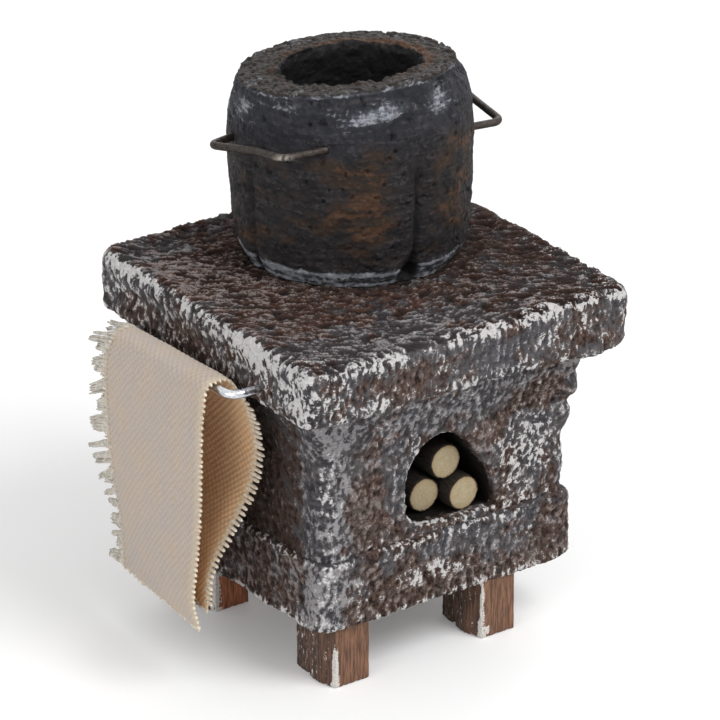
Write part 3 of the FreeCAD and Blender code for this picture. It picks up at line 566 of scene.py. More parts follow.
def sawn_twig(name, middle, seed):
    """A twig along Y: bark rings from end to end, and rings across each sawn end."""
    widths = [LOG_RADIUS * ring / LOG_RINGS for ring in range(1, LOG_RINGS + 1)]
    stations = [(width, 0.0) for width in widths]
    stations += [(LOG_RADIUS, LOG_LENGTH * step / LOG_STEPS) for step in range(1, LOG_STEPS)]
    stations += [(width, LOG_LENGTH) for width in reversed(widths)]
    turn = np.arange(LOG_SIDES) * 2 * math.pi / LOG_SIDES
    rows = [np.stack([np.cos(turn) * radius, np.full(LOG_SIDES, along),
                      np.sin(turn) * radius], axis=1) for radius, along in stations]
    points = np.concatenate(rows + [np.array([[0, 0, 0], [0, LOG_LENGTH, 0]])])
    radius = np.hypot(points[:, 0], points[:, 2])
    share = radius / LOG_RADIUS
    rim = soft_step(share, 0.8, 1.0)
    flakes = rough(points / (0.5, 1.6, 0.5), seed, 3)
    uneven = 0.07 * waves(points / (2.3, 40, 2.3), seed + 5)
    cut = 1 - soft_step(np.minimum(points[:, 1], LOG_LENGTH - points[:, 1]), 0, 0.35)
    shrink = 1 - rim * (0.02 + 0.075 * np.abs(flakes) + np.abs(uneven) + 0.03 * cut)
    points[:, 0] *= shrink
    points[:, 2] *= shrink
    saw = 0.05 * waves(points / (0.25, 99, 1.4), seed + 8) + 0.12 * rim * np.abs(flakes)
    inward = np.where(points[:, 1] < LOG_LENGTH / 2, 1, -1)
    points[:, 1] += inward * cut * np.abs(saw) * (share < 1.001)
    faces = [face[:1] + face[:0:-1] for face in ring_faces(len(stations), LOG_SIDES)]
    front, rear = len(points) - 2, len(points) - 1
    last = front - LOG_SIDES
    for side in range(LOG_SIDES):
        after = (side + 1) % LOG_SIDES
        faces += [(front, side, after), (rear, last + after, last + side)]
    mesh = new_mesh(name, points + middle, faces)
    paint_on(mesh, ring=share, bark=soft_step(share + 0.05 * flakes, 0.87, 0.97))
    return new_piece(name, mesh)


sawn, tree, shader = new_material("Sawn twig")
ring = painted(tree, "ring")
ring_bend = maths(tree, "MULTIPLY", noise(tree, millimetres(tree, (1.1, 9, 1.1)), 3.0), 0.35)
ring_turn = maths(tree, "MULTIPLY", maths(tree, "ADD", ring, ring_bend), 26.0)
ring_wave = ramp(tree, maths(tree, "SINE", ring_turn), -1.0, 1.0)
pore = grains(tree, (0.2, 3.0, 0.2), 3.0, 0.7)
stain_spot = grains(tree, (0.9, 5.0, 0.9), 2.0)
end_grain = mix(tree, ring_wave, (182, 170, 142), (150, 134, 102), 0.2)
end_grain = mix(tree, pore, end_grain, (124, 108, 80), 0.4)
end_grain = mix(tree, stain_spot, end_grain, (156, 128, 84), 0.35)
end_grain = mix(tree, ramp(tree, ring, 0.62, 0.95), end_grain, (138, 106, 62), 0.55)
# The bark is near black: partly its own dark colour, partly painted shade on the log sides deep
# in the fire opening.
bark_with_painted_shade = mix(tree, grains(tree, (0.4, 1.6, 0.4)), (11, 8, 6), (44, 32, 21))
feed(tree, shader, Base_Color=mix(tree, "bark", end_grain, bark_with_painted_shade), Roughness=0.88,
     Normal=bump(tree, pore, 0.07, 0.7))
for seed, (log_name, (log_body, log_middle)) in enumerate(LOGS.items(), start=51):
    log = sawn_twig(log_name + "_twig", log_middle, seed)
    dress(log, sawn, log_body, log_name)

# Top slab: the cooking top, cut from cork sheet. The cut shows the cork's growth streaks
# on top and its upright pores at the sides, and the arrises are worn and dry-brushed.
SLAB_LOW, SLAB_HIGH = (-23.5, -23.7, 36.5), (23.5, 23.7, 43.4)
# Its left side isn't square: towards the back it leans in by this much
SLAB_SIDE_LEAN = 2.1
SLAB_WIDTH = SLAB_HIGH[0] - SLAB_LOW[0]
POT_MIDDLE = (3.7, 6.4)
slab = even_copy("top_slab", "top_slab_cork", CORK_VOXEL)
slab_points, slab_normals = skin_of(slab.data)
slab_x, slab_y, slab_z = slab_points.T
side_lean = SLAB_SIDE_LEAN * np.clip((slab_y + 23) / 46.2, 0, 1)
squared = slab_points.copy()
squared[:, 0] -= np.clip(1 - (slab_x - SLAB_LOW[0]) / SLAB_WIDTH, 0, 1) * side_lean
slab_gap = arris_gap(squared, SLAB_LOW, SLAB_HIGH)
slab_arris = hump(slab_gap, 1.0)
slab_top = facing(slab_normals, UP, 0.55, 0.9)
growth = 0.73 * (slab_x - 1) - 6.6 * np.tanh((slab_x - 1) / 9.0)
top_cells = np.stack([slab_x / 2.1, (slab_y + growth) / 0.95, slab_z / 2.0], axis=1)
slab_cells = np.where(slab_top[:, None] > 0.5, top_cells, slab_points / (0.9, 1.1, 1.6))
pot_gap = np.hypot(slab_x - POT_MIDDLE[0], slab_y - POT_MIDDLE[1])
under_pot = slab_top * (1 - soft_step(pot_gap, 12.2, 13.6))
beneath = facing(slab_normals, DOWN, 0.6, 0.9)
far_side = np.maximum(soft_step(slab_y, 0, 15), soft_step(slab_x, 12, 20)
                      * soft_step(slab_y, -20, -8) * 1.6)
slab_swell = (0.4 + 0.4 * far_side) * hump(slab_gap, 1.8) * (1 - beneath)
slab_swell = slab_swell + 0.25 * slab_top * (1 - under_pot)
slab_swell += patches(slab_points, [(17, -23.2, 36.3, 4, 2.2, 1.6, 0.8)])
slab_swell -= patches(slab_points, [(24, -24, 37.4, 2.2, 2.2, 2.4, 0.7)])
slab_height = carve_cork(
    slab, slab_cells, slab_arris, np.maximum(0.96 * under_pot, 0.6 * beneath), 61, slab_swell,
    sliced=slab_top)
slab_front, slab_left = facing(slab_normals, FRONT), facing(slab_normals, LEFT)
slab_plaster = (
    0.34 + 0.12 * slab_front + 0.3 * slab_left * soft_step(slab_z, 38, 40.5)
    + patches(slab_points, [
        (-8, -19, 43.4, 13, 6, 2, 0.45), (20, -17, 42, 5, 7, 3, 0.25),
        (-18, 20, 42, 6, 6, 3, 0.25), (-23, -19, 39, 2, 5, 4, 0.3), (5, -23.7, 40, 7, 2, 3, 0.3),
        (10, 18, 43.4, 12, 8, 2, 0.15)])
    - patches(slab_points, [
        (-12, 2, 43.4, 7, 10, 2, 0.35), (16, -20, 41.5, 4, 4, 3, 0.35),
        (-9, -23.7, 39, 4, 2, 2.6, 0.4), (-23.4, 6, 39.5, 2, 14, 2.6, 0.4)])
    + 0.3 * rough(slab_points / 4, 64, 3))
slab_cover = (
    0.02 + 0.1 * slab_front + 0.25 * slab_left + 0.05 * slab_left * soft_step(slab_z, 38, 42)
    + (0.19 + 0.07 * far_side) * slab_arris * (1 - beneath)
    + (0.12 + 0.08 * slab_front) * rough(slab_points / 3.2, 65, 2)
    + 0.3 * slab_arris * rough(slab_points / 1.6, 66, 2)
    + patches(slab_points, [
        (-21.5, 18, 43.2, 0.4, 7, 0.36, 0.8), (-22.3, 10, 43.2, 0.4, 7, 0.36, 0.8),
        (-22.7, 3, 43.1, 0.4, 6, 0.36, 0.8), (-23.4, 8, 41.6, 0.8, 1.8, 1.0, 0.4),
        (-22.9, -7, 43.0, 0.7, 5, 0.6, 0.6), (-23.3, -1.5, 41.6, 0.8, 2.2, 1.4, 0.6),
        (-23.3, 12, 41, 0.8, 7, 2.2, 0.2), (-23.4, -12, 41.4, 1.6, 6, 1.9, 0.35),
        (-23.4, -20.2, 39.6, 1.2, 2.4, 1.9, 0.5), (-21, -23.4, 39.5, 3, 1, 2.8, 0.35),
        (-20, -20, 43.0, 4.0, 4.0, 2.0, 0.3), (-13.7, -22.6, 43.0, 6.5, 1.6, 1.2, 0.35),
        (0, -22.6, 43.0, 5, 1.5, 1.0, 0.34), (11.7, -22.8, 43.1, 9, 1.6, 0.9, 0.42),
        (11, -23.6, 40.4, 9, 1, 2.0, 0.22), (0, -23.6, 37.6, 9, 1, 0.8, 0.3),
        (-14, -23.6, 38.0, 6, 1, 1.4, 0.35), (21, -21.5, 42.6, 3, 3, 1.6, 0.35),
        (22, -12, 43.2, 2.4, 10, 0.9, 0.25), (23.4, 0, 43.3, 0.7, 20, 0.6, 0.35),
        (22.8, -23.2, 41.3, 2.0, 1.4, 2.4, 0.3), (-10, -19.5, 43.4, 9, 3.4, 1, 0.2)]))
slab_dust = (
    0.24 + 0.06 * slab_front + 0.12 * slab_left + 0.04 * slab_top
    + patches(slab_points, [(-14, -18, 43.4, 10, 5, 2, 0.12), (-18, 11, 43.4, 8, 14, 2, 0.11)])
    - patches(slab_points, [(-3, -10, 43.4, 9, 7, 2, 0.1)])
    - 0.12 * slab_top * soft_step(slab_x + slab_y, -4, 16))
slab_shade = (0.35 * slab_left * (1 - soft_step(slab_z, 37.5, 40))
              + 0.4 * slab_top * soft_step(slab_x - 0.3 * slab_y, -2, 16))
# A dark ring round the pot's foot on the top: partly soot, partly painted shade where the pot
# stands on the slab.
paint_on(slab.data, height=slab_height, plaster=slab_plaster, cover=slab_cover, dust=slab_dust,
         shade=slab_shade, combed=slab_top,
         soot=0.5 * (1 - soft_step(pot_gap, 12.0, 16.5)) * slab_top)
dress(slab, cork, "stove", "top_slab")

# Towel rail: a staple of bright steel wire, pushed into two holes in the slab's left side.
# It keeps the shape of its solid, with fine drawing marks along the wire.
bright, tree, shader = new_material("Bright wire")
drawn_marks = grains(tree, (0.35, 3.0, 0.35), 2.0)
feed(tree, shader, Metallic=1.0, Normal=bump(tree, drawn_marks, 0.02, 0.4),
     Base_Color=mix(tree, drawn_marks, (186, 190, 198), (232, 233, 236)),
     Roughness=ramp(tree, drawn_marks, 0.0, 1.0, 0.16, 0.3))


def coat(node, material):
    """Give a node of the frame that keeps its own shape a finished surface."""
    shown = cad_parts[node]
    for slot in shown.material_slots:
        slot.link = "OBJECT"
        slot.material = material


coat("towel_rail", bright)

# Towel: a strip of coarse unbleached cotton, folded over the rail. Its front edge is the
# selvedge with its turned loops, its back edge is frayed, and it hangs open like a purse.
RAIL_X, RAIL_Z, TOWEL_Y = -27.1, 38.6, 0.9
FOLD, DROP, TOWEL_WIDTH = 8.6, 31.6, 20.8
CREST = 0.95
OUTER_FALL = [
    [(-0.35, -0.955), (-0.46, -0.83), (-0.30, -0.51), (-0.28, -0.165)],
    [(-0.16, -0.965), (-0.28, -0.83), (-0.30, -0.51), (-0.25, -0.17)],
    [(0.02, -0.975), (0.03, -0.82), (-0.16, -0.50), (-0.23, -0.18)],
]
INNER_FALL = [
    [(0.50, -0.10), (0.67, -0.27), (0.58, -0.43), (0.14, -0.60), (-0.17, -0.73),
     (-0.21, -0.885)],
    [(0.46, -0.10), (0.59, -0.27), (0.57, -0.44), (0.33, -0.61), (0.13, -0.75), (0.05, -0.90)],
    [(0.41, -0.10), (0.50, -0.28), (0.52, -0.46), (0.47, -0.63), (0.37, -0.78), (0.28, -0.90)],
]
CREST_SPAN = (-0.18, 0.2)
THREAD_PITCH = 0.92
CLOTH_THICKNESS, KNOT_HEIGHT = 0.36, 0.06
CLOTH_COLUMNS, CLOTH_ROWS = 150, 480


def hanging_line(outer, inner):
    """One thread's run over the rail, from the outer hem to the inner hem, evenly spaced."""
    corners = [(x * FOLD, z * DROP) for x, z in outer]
    corners += [(x * FOLD, CREST) for x in CREST_SPAN]
    corners += [(x * FOLD, z * DROP) for x, z in inner]
    corners = np.array(corners)
    path = [corners[0]]
    for before, corner, after in zip(corners, corners[1:], corners[2:]):
        come, leave = before - corner, after - corner
        reach = 0.45 * min(np.linalg.norm(come), np.linalg.norm(leave))
        first = corner + come / np.linalg.norm(come) * reach
        last = corner + leave / np.linalg.norm(leave) * reach
        for share in np.linspace(0, 1, 24):
            path.append((1 - share) ** 2 * first + 2 * share * (1 - share) * corner
                        + share ** 2 * last)
    path.append(corners[-1])
    path = np.array(path)
    run = np.concatenate([[0], np.cumsum(np.linalg.norm(np.diff(path, axis=0), axis=1))])
    even = np.linspace(0, run[-1], CLOTH_ROWS)
    return np.stack([np.interp(even, run, path[:, 0]), np.interp(even, run, path[:, 1])],
                    axis=1), run[-1]


cloth_lines = [hanging_line(outer, inner) for outer, inner in zip(OUTER_FALL, INNER_FALL)]
cloth_length = cloth_lines[1][1]
cloth_across = np.linspace(-0.5, 0.5, CLOTH_COLUMNS)
cloth_run = np.linspace(0, cloth_length, CLOTH_ROWS)
crest_run = cloth_run[np.argmax(cloth_lines[1][0][:, 1])]


def cloth_middle(across):
    """The cloth's middle surface at one share of its width, from -0.5 to 0.5."""
    front, middle, back = (line for line, length in cloth_lines)
    place = middle + (back - front) * across + (front + back - 2 * middle) * 2 * across ** 2
    drawn_in = 1.5 * hump(cloth_run - crest_run, 3.2) * (across + 0.5) ** 2
    return np.stack([RAIL_X + place[:, 0], TOWEL_Y + TOWEL_WIDTH * across - drawn_in,
                     RAIL_Z + place[:, 1]], axis=1)


def cloth_normals(grid):
    normal = np.cross(np.gradient(grid, axis=1), np.gradient(grid, axis=0))
    return normal / np.linalg.norm(normal, axis=2)[:, :, None]


cloth_grid = np.stack([cloth_middle(share) for share in cloth_across])
cloth_out = cloth_normals(cloth_grid)
wide_grid, run_grid = np.meshgrid(cloth_across * TOWEL_WIDTH, cloth_run, indexing="ij")
cells = np.stack([wide_grid, run_grid, np.zeros_like(run_grid)], axis=2).reshape(-1, 3)
slub = (waves(cells / (1.2, 9.0, 1), 71) + waves(cells / (9.0, 1.2, 1), 72)).reshape(
    run_grid.shape)
thread_along = run_grid / THREAD_PITCH + 0.07 * slub
thread_across = wide_grid / THREAD_PITCH - 0.1 * run_grid / THREAD_PITCH + 0.07 * slub
weave = np.cos(2 * math.pi * thread_along) * np.cos(2 * math.pi * thread_across)
ripple = waves(cells / (3.2, 6.5, 1), 73).reshape(run_grid.shape)
edge_gap = np.minimum(wide_grid + TOWEL_WIDTH / 2, TOWEL_WIDTH / 2 - wide_grid)
end_gap = np.minimum(run_grid, cloth_length - run_grid)
thin = 1 - 0.4 * (1 - soft_step(np.minimum(edge_gap, end_gap), 0, 0.5))
half = CLOTH_THICKNESS / 2 * thin
cloth_grid = cloth_grid + cloth_out * (0.1 * ripple)[:, :, None]
cloth_along = np.gradient(cloth_grid, axis=1)
cloth_along /= np.linalg.norm(cloth_along, axis=2)[:, :, None]
hem_cells = np.stack([cloth_across * TOWEL_WIDTH / 0.9, 0 * cloth_across, 0 * cloth_across], 1)
hem_saw = 0.3 * rough(hem_cells, 74, 2)
hem_pull = np.exp(-end_gap / 0.5) * np.sign(cloth_length / 2 - run_grid) * hem_saw[:, None]
cloth_grid = cloth_grid + cloth_along * hem_pull[:, :, None]


def cloth_mesh():
    """Both faces of the cloth with its knots on them, closed round the edges."""
    outside = cloth_grid + cloth_out * (half + KNOT_HEIGHT * weave)[:, :, None]
    inside = cloth_grid - cloth_out * (half + KNOT_HEIGHT * weave)[:, :, None]
    count = CLOTH_COLUMNS * CLOTH_ROWS
    points = np.concatenate([outside.reshape(-1, 3), inside.reshape(-1, 3)])
    index = np.arange(count).reshape(CLOTH_COLUMNS, CLOTH_ROWS)
    patch = np.stack([index[:-1, :-1], index[1:, :-1], index[1:, 1:], index[:-1, 1:]], axis=2)
    faces = [patch.reshape(-1, 4)[:, ::-1], patch.reshape(-1, 4) + count]
    for border in (index[0, :], index[:, -1], index[-1, ::-1], index[::-1, 0]):
        faces.append(np.stack([border[:-1], border[:-1] + count, border[1:] + count,
                               border[1:]], axis=1))
    mesh = new_mesh("towel_cotton", points, np.concatenate(faces).tolist())
    selvedge = 1 - soft_step(edge_gap, 0.3, 1.3)
    stitches = hump(TOWEL_WIDTH / 2 - wide_grid - 0.9, 0.16) * (
        0.5 + 0.5 * np.cos(2 * math.pi * run_grid / 0.66))
    # The inner face is marked for painted light: it gets a warmer, lighter colour than the outer
    # face of the same cloth.
    paint_on(mesh, lining=np.repeat((0, 1), count), selvedge=np.tile(selvedge.ravel(), 2),
             stitches=np.tile(stitches.ravel(), 2))
    for label, thread in (("thread_along", thread_along), ("thread_across", thread_across)):
        layer = mesh.attributes.new(label, "FLOAT", "POINT")
        layer.data.foreach_set("value", np.tile(thread.ravel(), 2).astype(np.float32))
    return mesh


towel = new_piece("towel_cotton", cloth_mesh())


def tube(points, radii, sides):
    """Points and faces of one closed thread."""
    points = np.array(points)
    along = np.gradient(points, axis=0)
    along /= np.linalg.norm(along, axis=1)[:, None]
    side = np.cross(along, (0.31, 0.2, 0.93))
    side /= np.linalg.norm(side, axis=1)[:, None]
    other = np.cross(along, side)
    rings = [points + (side * math.cos(turn) + other * math.sin(turn)) * np.array(radii)[:, None]
             for turn in np.arange(sides) * 2 * math.pi / sides]
    last = (len(points) - 1) * sides
    faces = ring_faces(len(points), sides)
    faces += [tuple(range(sides - 1, -1, -1)), tuple(range(last, last + sides))]
    return np.stack(rings, axis=1).reshape(-1, 3), faces


def threads(name, runs, sides):
    """One piece made of many threads, each a list of points and a list of radii."""
    skins, faces, first = [], [], 0
    for points, radii in runs:
        skin, skin_faces = tube(points, radii, sides)
        skins.append(skin)
        faces += [tuple(first + corner for corner in face) for face in skin_faces]
        first += len(skin)
    return new_piece(name, new_mesh(name, np.concatenate(skins), faces))


def edge_place(column, run):
    """A place on the cloth's edge, the way out of it across the width, and its normal."""
    row = min(max(int(round(run / cloth_length * (CLOTH_ROWS - 1))), 0), CLOTH_ROWS - 1)
    outward = cloth_grid[column, row] - cloth_grid[column - 6 if column else 6, row]
    return cloth_grid[column, row], outward / np.linalg.norm(outward), cloth_out[column, row]


# The weft turns back in a loop at each row, short on the outer fall and long on the inner
LOOP_PITCH = 0.68
draw = np.random.default_rng(75)
loop_runs = []
for run in np.arange(0.5, cloth_length - 0.4, LOOP_PITCH):
    place, outward, normal = edge_place(0, run + draw.uniform(-0.07, 0.07))
    inner_share = soft_step(np.array(run), crest_run + 1, crest_run + 7)
    beside_arm = hump(run - crest_run - 2.3, 3.2)
    reach = (0.34 + 0.95 * inner_share) * draw.uniform(0.85, 1.15) * (1 - 0.85 * beside_arm)
    thick = (0.19 + 0.04 * inner_share) * (1 - 0.4 * beside_arm)
    lift = draw.uniform(-0.12, 0.12)
    drop = Vector((0, 0, -1)) * (0.18 * (1 - inner_share))
    steps = np.linspace(-0.5, 1, 9)
    points = [place + outward * reach * step + (normal * lift + np.array(drop))
              * max(step, 0) ** 2 for step in steps]
    loop_runs.append((points, thick * np.sqrt(np.clip(1.02 - steps ** 4, 0.03, 1))))
loops = threads("towel_weft_loops", loop_runs, 10)

# Tufts of frayed threads, matted into blunt fingers, stand out of the back edge
TUFT_COUNT, FIBRES_IN_TUFT = 36, 46
fibre_runs = []
for tuft in range(TUFT_COUNT):
    run = cloth_length * (tuft + draw.uniform(0.25, 0.75)) / TUFT_COUNT
    reach = 1.5 + 3.9 * draw.uniform() ** 1.1
    slope, droop = draw.uniform(-0.16, 0.16), draw.uniform(0.25, 0.5)
    spread = draw.uniform(0.28, 0.95)
    for fibre in range(FIBRES_IN_TUFT):
        offset = draw.uniform(-1, 1) * spread
        stray = draw.uniform() < 0.2
        place, outward, normal = edge_place(
            CLOTH_COLUMNS - 1, run + offset * (2.2 if stray else 1))
        along_edge = np.cross(outward, normal)
        tip = draw.uniform(0.3, 1.1) if stray else reach * draw.uniform(0.8, 1.0)
        lift, sway_size = draw.normal() * 0.08, draw.normal(size=2) * 0.07
        steps = np.linspace(-0.2, 1, 8)
        points = []
        for step in steps:
            ahead = max(step, 0)
            sway = (slope * tip * ahead - 0.25 * offset * ahead
                    + sway_size[0] * math.sin(6 * ahead))
            rise = lift + sway_size[1] * math.sin(5 * ahead)
            points.append(place + outward * tip * step + along_edge * sway + normal * rise
                          + np.array([0, 0, -droop * tip * ahead]))
        fibre_runs.append((points, 0.12 * (1 - 0.3 * np.clip(steps, 0, 1))))
fringe = threads("towel_fringe", fibre_runs, 5)

# Cut warp ends stick out of both hems
hem_runs = []
for hem_row, way in ((0, -1), (CLOTH_ROWS - 1, 1)):
    for column in range(1, CLOTH_COLUMNS - 1, 3):
        place = cloth_grid[column, hem_row]
        outward = way * cloth_along[column, hem_row]
        reach = draw.uniform(0.1, 0.55)
        aside = np.cross(outward, cloth_out[column, hem_row]) * draw.normal() * 0.15
        steps = np.linspace(-0.4, 1, 6)
        hem_runs.append(([place + outward * reach * step + aside * max(step, 0) ** 2
                          for step in steps], 0.17 * (1 - 0.55 * np.clip(steps, 0, 1))))
hem_ends = threads("towel_hem_ends", hem_runs, 6)

cotton, tree, shader = new_material("Unbleached cotton")
knot = maths(tree, "MULTIPLY", *(
    maths(tree, "COSINE", maths(tree, "MULTIPLY", painted(tree, label), 2 * math.pi))
    for label in ("thread_along", "thread_across")))
yarn = grains(tree, 0.14, 3.0, 0.6)
tone = grains(tree, 4, 2.0)
cloth = mix(tree, tone, (184, 168, 152), (177, 167, 160))
valley = ramp(tree, knot, -0.8, 0.4, 1.0, 0.0)
cloth = mix(tree, valley, cloth, (150, 130, 114), 0.22)
cloth = mix(tree, ramp(tree, yarn, 0.5, 1.0), cloth, (212, 200, 188), 0.25)
# Painted light: the inside face of the fold is warmer and lighter, standing in for light shining
# through the cloth and bouncing inside the fold.
inside_lit_colour = mix(tree, tone, (222, 184, 142), (212, 176, 138))
inside_lit_colour = mix(tree, valley, inside_lit_colour, (152, 114, 76), 0.35)
cloth = mix(tree, "lining", cloth, inside_lit_colour)
cloth = mix(tree, "selvedge", cloth, (200, 184, 156), 0.55)
cloth = mix(tree, "stitches", cloth, (120, 100, 78), 0.6)
feed(tree, shader, Base_Color=cloth, Roughness=0.92, Sheen_Weight=0.1, Sheen_Roughness=0.5,
     Normal=bump(tree, mix_number(tree, 0.25, ramp(tree, knot, -1.0, 1.0), yarn), 0.1, 0.7))
frayed, tree, shader = new_material("Frayed cotton")
feed(tree, shader, Roughness=0.95, Base_Color=mix(
    tree, grains(tree, 0.7, 3.0), (172, 166, 156), (214, 208, 198)))
looped, tree, shader = new_material("Weft loops")
feed(tree, shader, Roughness=0.9, Base_Color=mix(
    tree, grains(tree, 0.5, 3.0), (190, 174, 150), (228, 220, 206)))
for piece, material in ((towel, cotton), (loops, looped), (fringe, frayed), (hem_ends, looped)):
    piece.data.materials.append(material)
    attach(piece, "towel_cloth")
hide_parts("towel")

# Cooking pot: a length of thick cork turned round, hollowed and painted like sooty iron.
# The wall has upright clefts from the cork's bark, and the paint is worn brown and rusty.
POT_FOOT, POT_RADIUS, POT_HEIGHT = 43.5, 14.6, 23.3
POT_RIM_TURN, POT_RIM_RISE = math.radians(19), math.tan(math.radians(7.6))
VIEW_TURN = math.radians(-36.34)
POT_VOXEL = 0.17
pot = even_copy("cooking_pot", "cooking_pot_cork", POT_VOXEL)
pot_points, pot_normals = skin_of(pot.data)
east, north = pot_points[:, 0] - POT_MIDDLE[0], pot_points[:, 1] - POT_MIDDLE[1]
pot_up = pot_points[:, 2] - POT_FOOT
pot_out = np.hypot(east, north)
sideways = east * math.cos(VIEW_TURN) + north * math.sin(VIEW_TURN)
towards = east * math.sin(VIEW_TURN) - north * math.cos(VIEW_TURN)
pot_turn = np.degrees(np.arctan2(sideways, towards))
outward_wall = soft_step((east * pot_normals[:, 0] + north * pot_normals[:, 1])
                         / np.maximum(pot_out, 0.1), 0.2, 0.6)
rim_level = POT_HEIGHT - POT_RIM_RISE * (north * math.cos(POT_RIM_TURN)
                                         - east * math.sin(POT_RIM_TURN))
below_rim = rim_level - pot_up
wall = outward_wall * (pot_out > 10.5)
rim_face = facing(pot_normals, UP, 0.75, 0.93) * (pot_up > 15) * (below_rim < 1.2)
bore = (pot_out < 9.7) * (1 - rim_face) * (pot_up > 3)


def around(turn, reach):
    """Share of the wall within a reach of one turn, both in degrees."""
    return hump(np.abs((pot_turn - turn + 180) % 360 - 180), reach)


def cleft(turn, width, low, high, depth):
    """An upright cleft in the wall: its turn, width in degrees, lower and upper end."""
    wander = 1.4 * waves(np.stack([pot_up / 2.5, 0 * pot_up + turn, 0 * pot_up], axis=1), 81)
    span = soft_step(pot_up, low - 1.0, low + 0.6) * (1 - soft_step(pot_up, high - 4, high))
    return depth * span * around(turn + wander, width)


def band(height, reach):
    return hump(pot_up - height, reach)


clefts = (cleft(-54, 1.8, 0.2, 18, 0.42) + cleft(33, 1.9, 1.0, 17, 0.38)
          + cleft(33, 5.0, 3.0, 17, 0.22) + cleft(31, 5.0, -0.5, 4.6, 1.4)
          + cleft(-54, 3.0, -0.5, 3.0, 0.8)
          + cleft(150, 2.2, 0.5, 15, 0.5) + cleft(-150, 2.0, 3, 19, 0.4))
bark_cells = np.stack([pot_turn * math.pi / 180 * POT_RADIUS / 1.5, pot_up / 2.2,
                       pot_out / 1.5], axis=1)
pot_lumps = rough(pot_points / 5.0, 82, 3)
pot_grit = rough(pot_points / 0.55, 83, 3)
pot_pits = soft_step(rough(pot_points / 1.1 + 3.1, 84, 2), 0.52, 0.72)
tatter = rough(pot_points / 0.8, 85, 2)
coarse_tatter = rough(pot_points / 2.6, 88, 3)
shoulder = hump(np.maximum(below_rim - 1.0, 0), 1.6) * wall
dents = 0.12 * crests(bark_cells, 89) * wall
pot_shape = wall * (0.26 * pot_lumps - clefts) + 0.07 * pot_grit - 0.4 * pot_pits * wall + dents
pot_shape -= shoulder * (
    0.3 * around(-75, 50) + 0.12 + 0.5 * around(75, 45) + 0.25 * coarse_tatter)
pot_shape -= 0.2 * rim_face * np.abs(rough(pot_points / (0.9, 2.0, 0.9), 86, 3))
mouth_gap = np.hypot(pot_out - 9.0, below_rim)
pot_shape += hump(mouth_gap, 1.2) * (0.5 * coarse_tatter + 0.3 * tatter)
pot_shape += 0.25 * bore * coarse_tatter * (below_rim < 4)
pot_shape *= 1 - facing(pot_normals, DOWN, 0.6, 0.9)
top_edge = hump(below_rim, 0.6) * (pot_out > 11)
pot_shape -= 0.35 * top_edge * soft_step(tatter, 0.0, 0.6)
pot_shape = np.clip(pot_shape, -1.5, 0.4)
rim_lift = 0.25 + 0.45 * around(-150, 80) - 0.65 * around(110, 60)
pot_carved = pot_points + pot_normals * pot_shape[:, None]
pot_carved[:, 2] += rim_lift * (1 - soft_step(below_rim, 0.0, 3.0))
move_points(pot.data, pot_carved)

streaks = rough(np.stack([pot_turn / 14, pot_up / 0.42, pot_out / 8], axis=1), 87, 3)
clouds = rough(np.stack([pot_turn / 22, pot_up / 2.4, pot_out / 8], axis=1), 90, 3)
middle_wall = soft_step(pot_up, 1.5, 4.0) * (1 - soft_step(below_rim, 9.5, 4.5))
rust = wall * middle_wall * np.clip(
    0.36 + 0.7 * clouds + 0.4 * around(2, 20) * band(12, 6) + 0.4 * around(60, 16)
    * band(14, 5) + 0.25 * around(-88, 24) - 0.3 * around(24, 9) - 0.3 * around(-35, 14), 0, 1)
veil = wall * (
    0.75 * around(13, 15) * hump(below_rim - 3.1 + 0.03 * pot_turn, 1.0)
    + 0.5 * around(-66, 11) * hump(below_rim - 2.2, 1.4)
    + 0.3 * around(-28, 22) * hump(below_rim - 2.4 - 0.03 * pot_turn, 0.5)
    + 0.55 * around(50, 9) * hump(below_rim - 3.0, 1.9)
    + 0.35 * around(-92, 12) * hump(below_rim - 3.5, 2.4))
foot_wear = 0.75 * band(1.9, 0.32) + 0.65 * band(0.25, 0.28) + 0.42 * band(1.1, 0.9)
foot_wear *= np.clip(around(-12, 62) + 0.35, 0, 1) * wall * (1 - soft_step(clefts, 0.15, 0.6))
top_wear = 0.43 * hump(below_rim - 0.25, 0.26) * (pot_out > 11)
# The bore under the rim and the clefts in the wall are painted near black: partly soot, partly
# painted shade in these hollows.
soot = bore * soft_step(below_rim, 0.3, 1.6) + wall * soft_step(clefts, 0.3, 0.7)
mouth = (hump(pot_out - 9.3, 0.7 + 0.5 * around(150, 70)) * (below_rim < 1.6)
         * (0.35 + 0.65 * around(140, 75)))
paint_on(pot.data, rust=rust, rim=rim_face, soot=soot, mouth=mouth,
         height=ranked(0.4 * pot_grit + 0.75 * streaks - 0.5 * clefts * wall + 0.3 * tatter),
         cover=np.maximum(veil, np.maximum(foot_wear, top_wear)),
         bluish=wall * (1 - soft_step(below_rim, 4, 9)))

iron, tree, shader = new_material("Sooty painted cork")
height = painted(tree, "height")
fleck = grains(tree, (0.5, 0.5, 0.4), 4.0, 0.7)
blotch = grains(tree, (2.6, 2.6, 2.0), 4.0, 0.65)
rusty = painted(tree, "rust")
coal = mix(tree, blotch, (16, 14, 17), (34, 31, 33))
coal = mix(tree, "bluish", coal, mix(tree, blotch, (20, 21, 28), (40, 42, 50)), 0.8)
coal = mix(tree, ramp(tree, mix_number(tree, 0.5, fleck, height), 0.56, 0.82), coal,
           (66, 62, 64), 0.6)
patina = ramp(tree, mix_number(tree, 0.4, rusty, blotch), 0.3, 0.7)
coal = mix(tree, patina, coal, mix(tree, blotch, (29, 23, 20), (49, 37, 29)))
rust_grain = mix_number(tree, 0.55, height, grains(tree, (1.3, 1.3, 0.8), 5.0, 0.7))
orange = ramp(tree, mix_number(tree, 0.55, rusty, rust_grain), 0.56, 0.86)
coal = mix(tree, orange, coal, (86, 58, 38), 0.65)
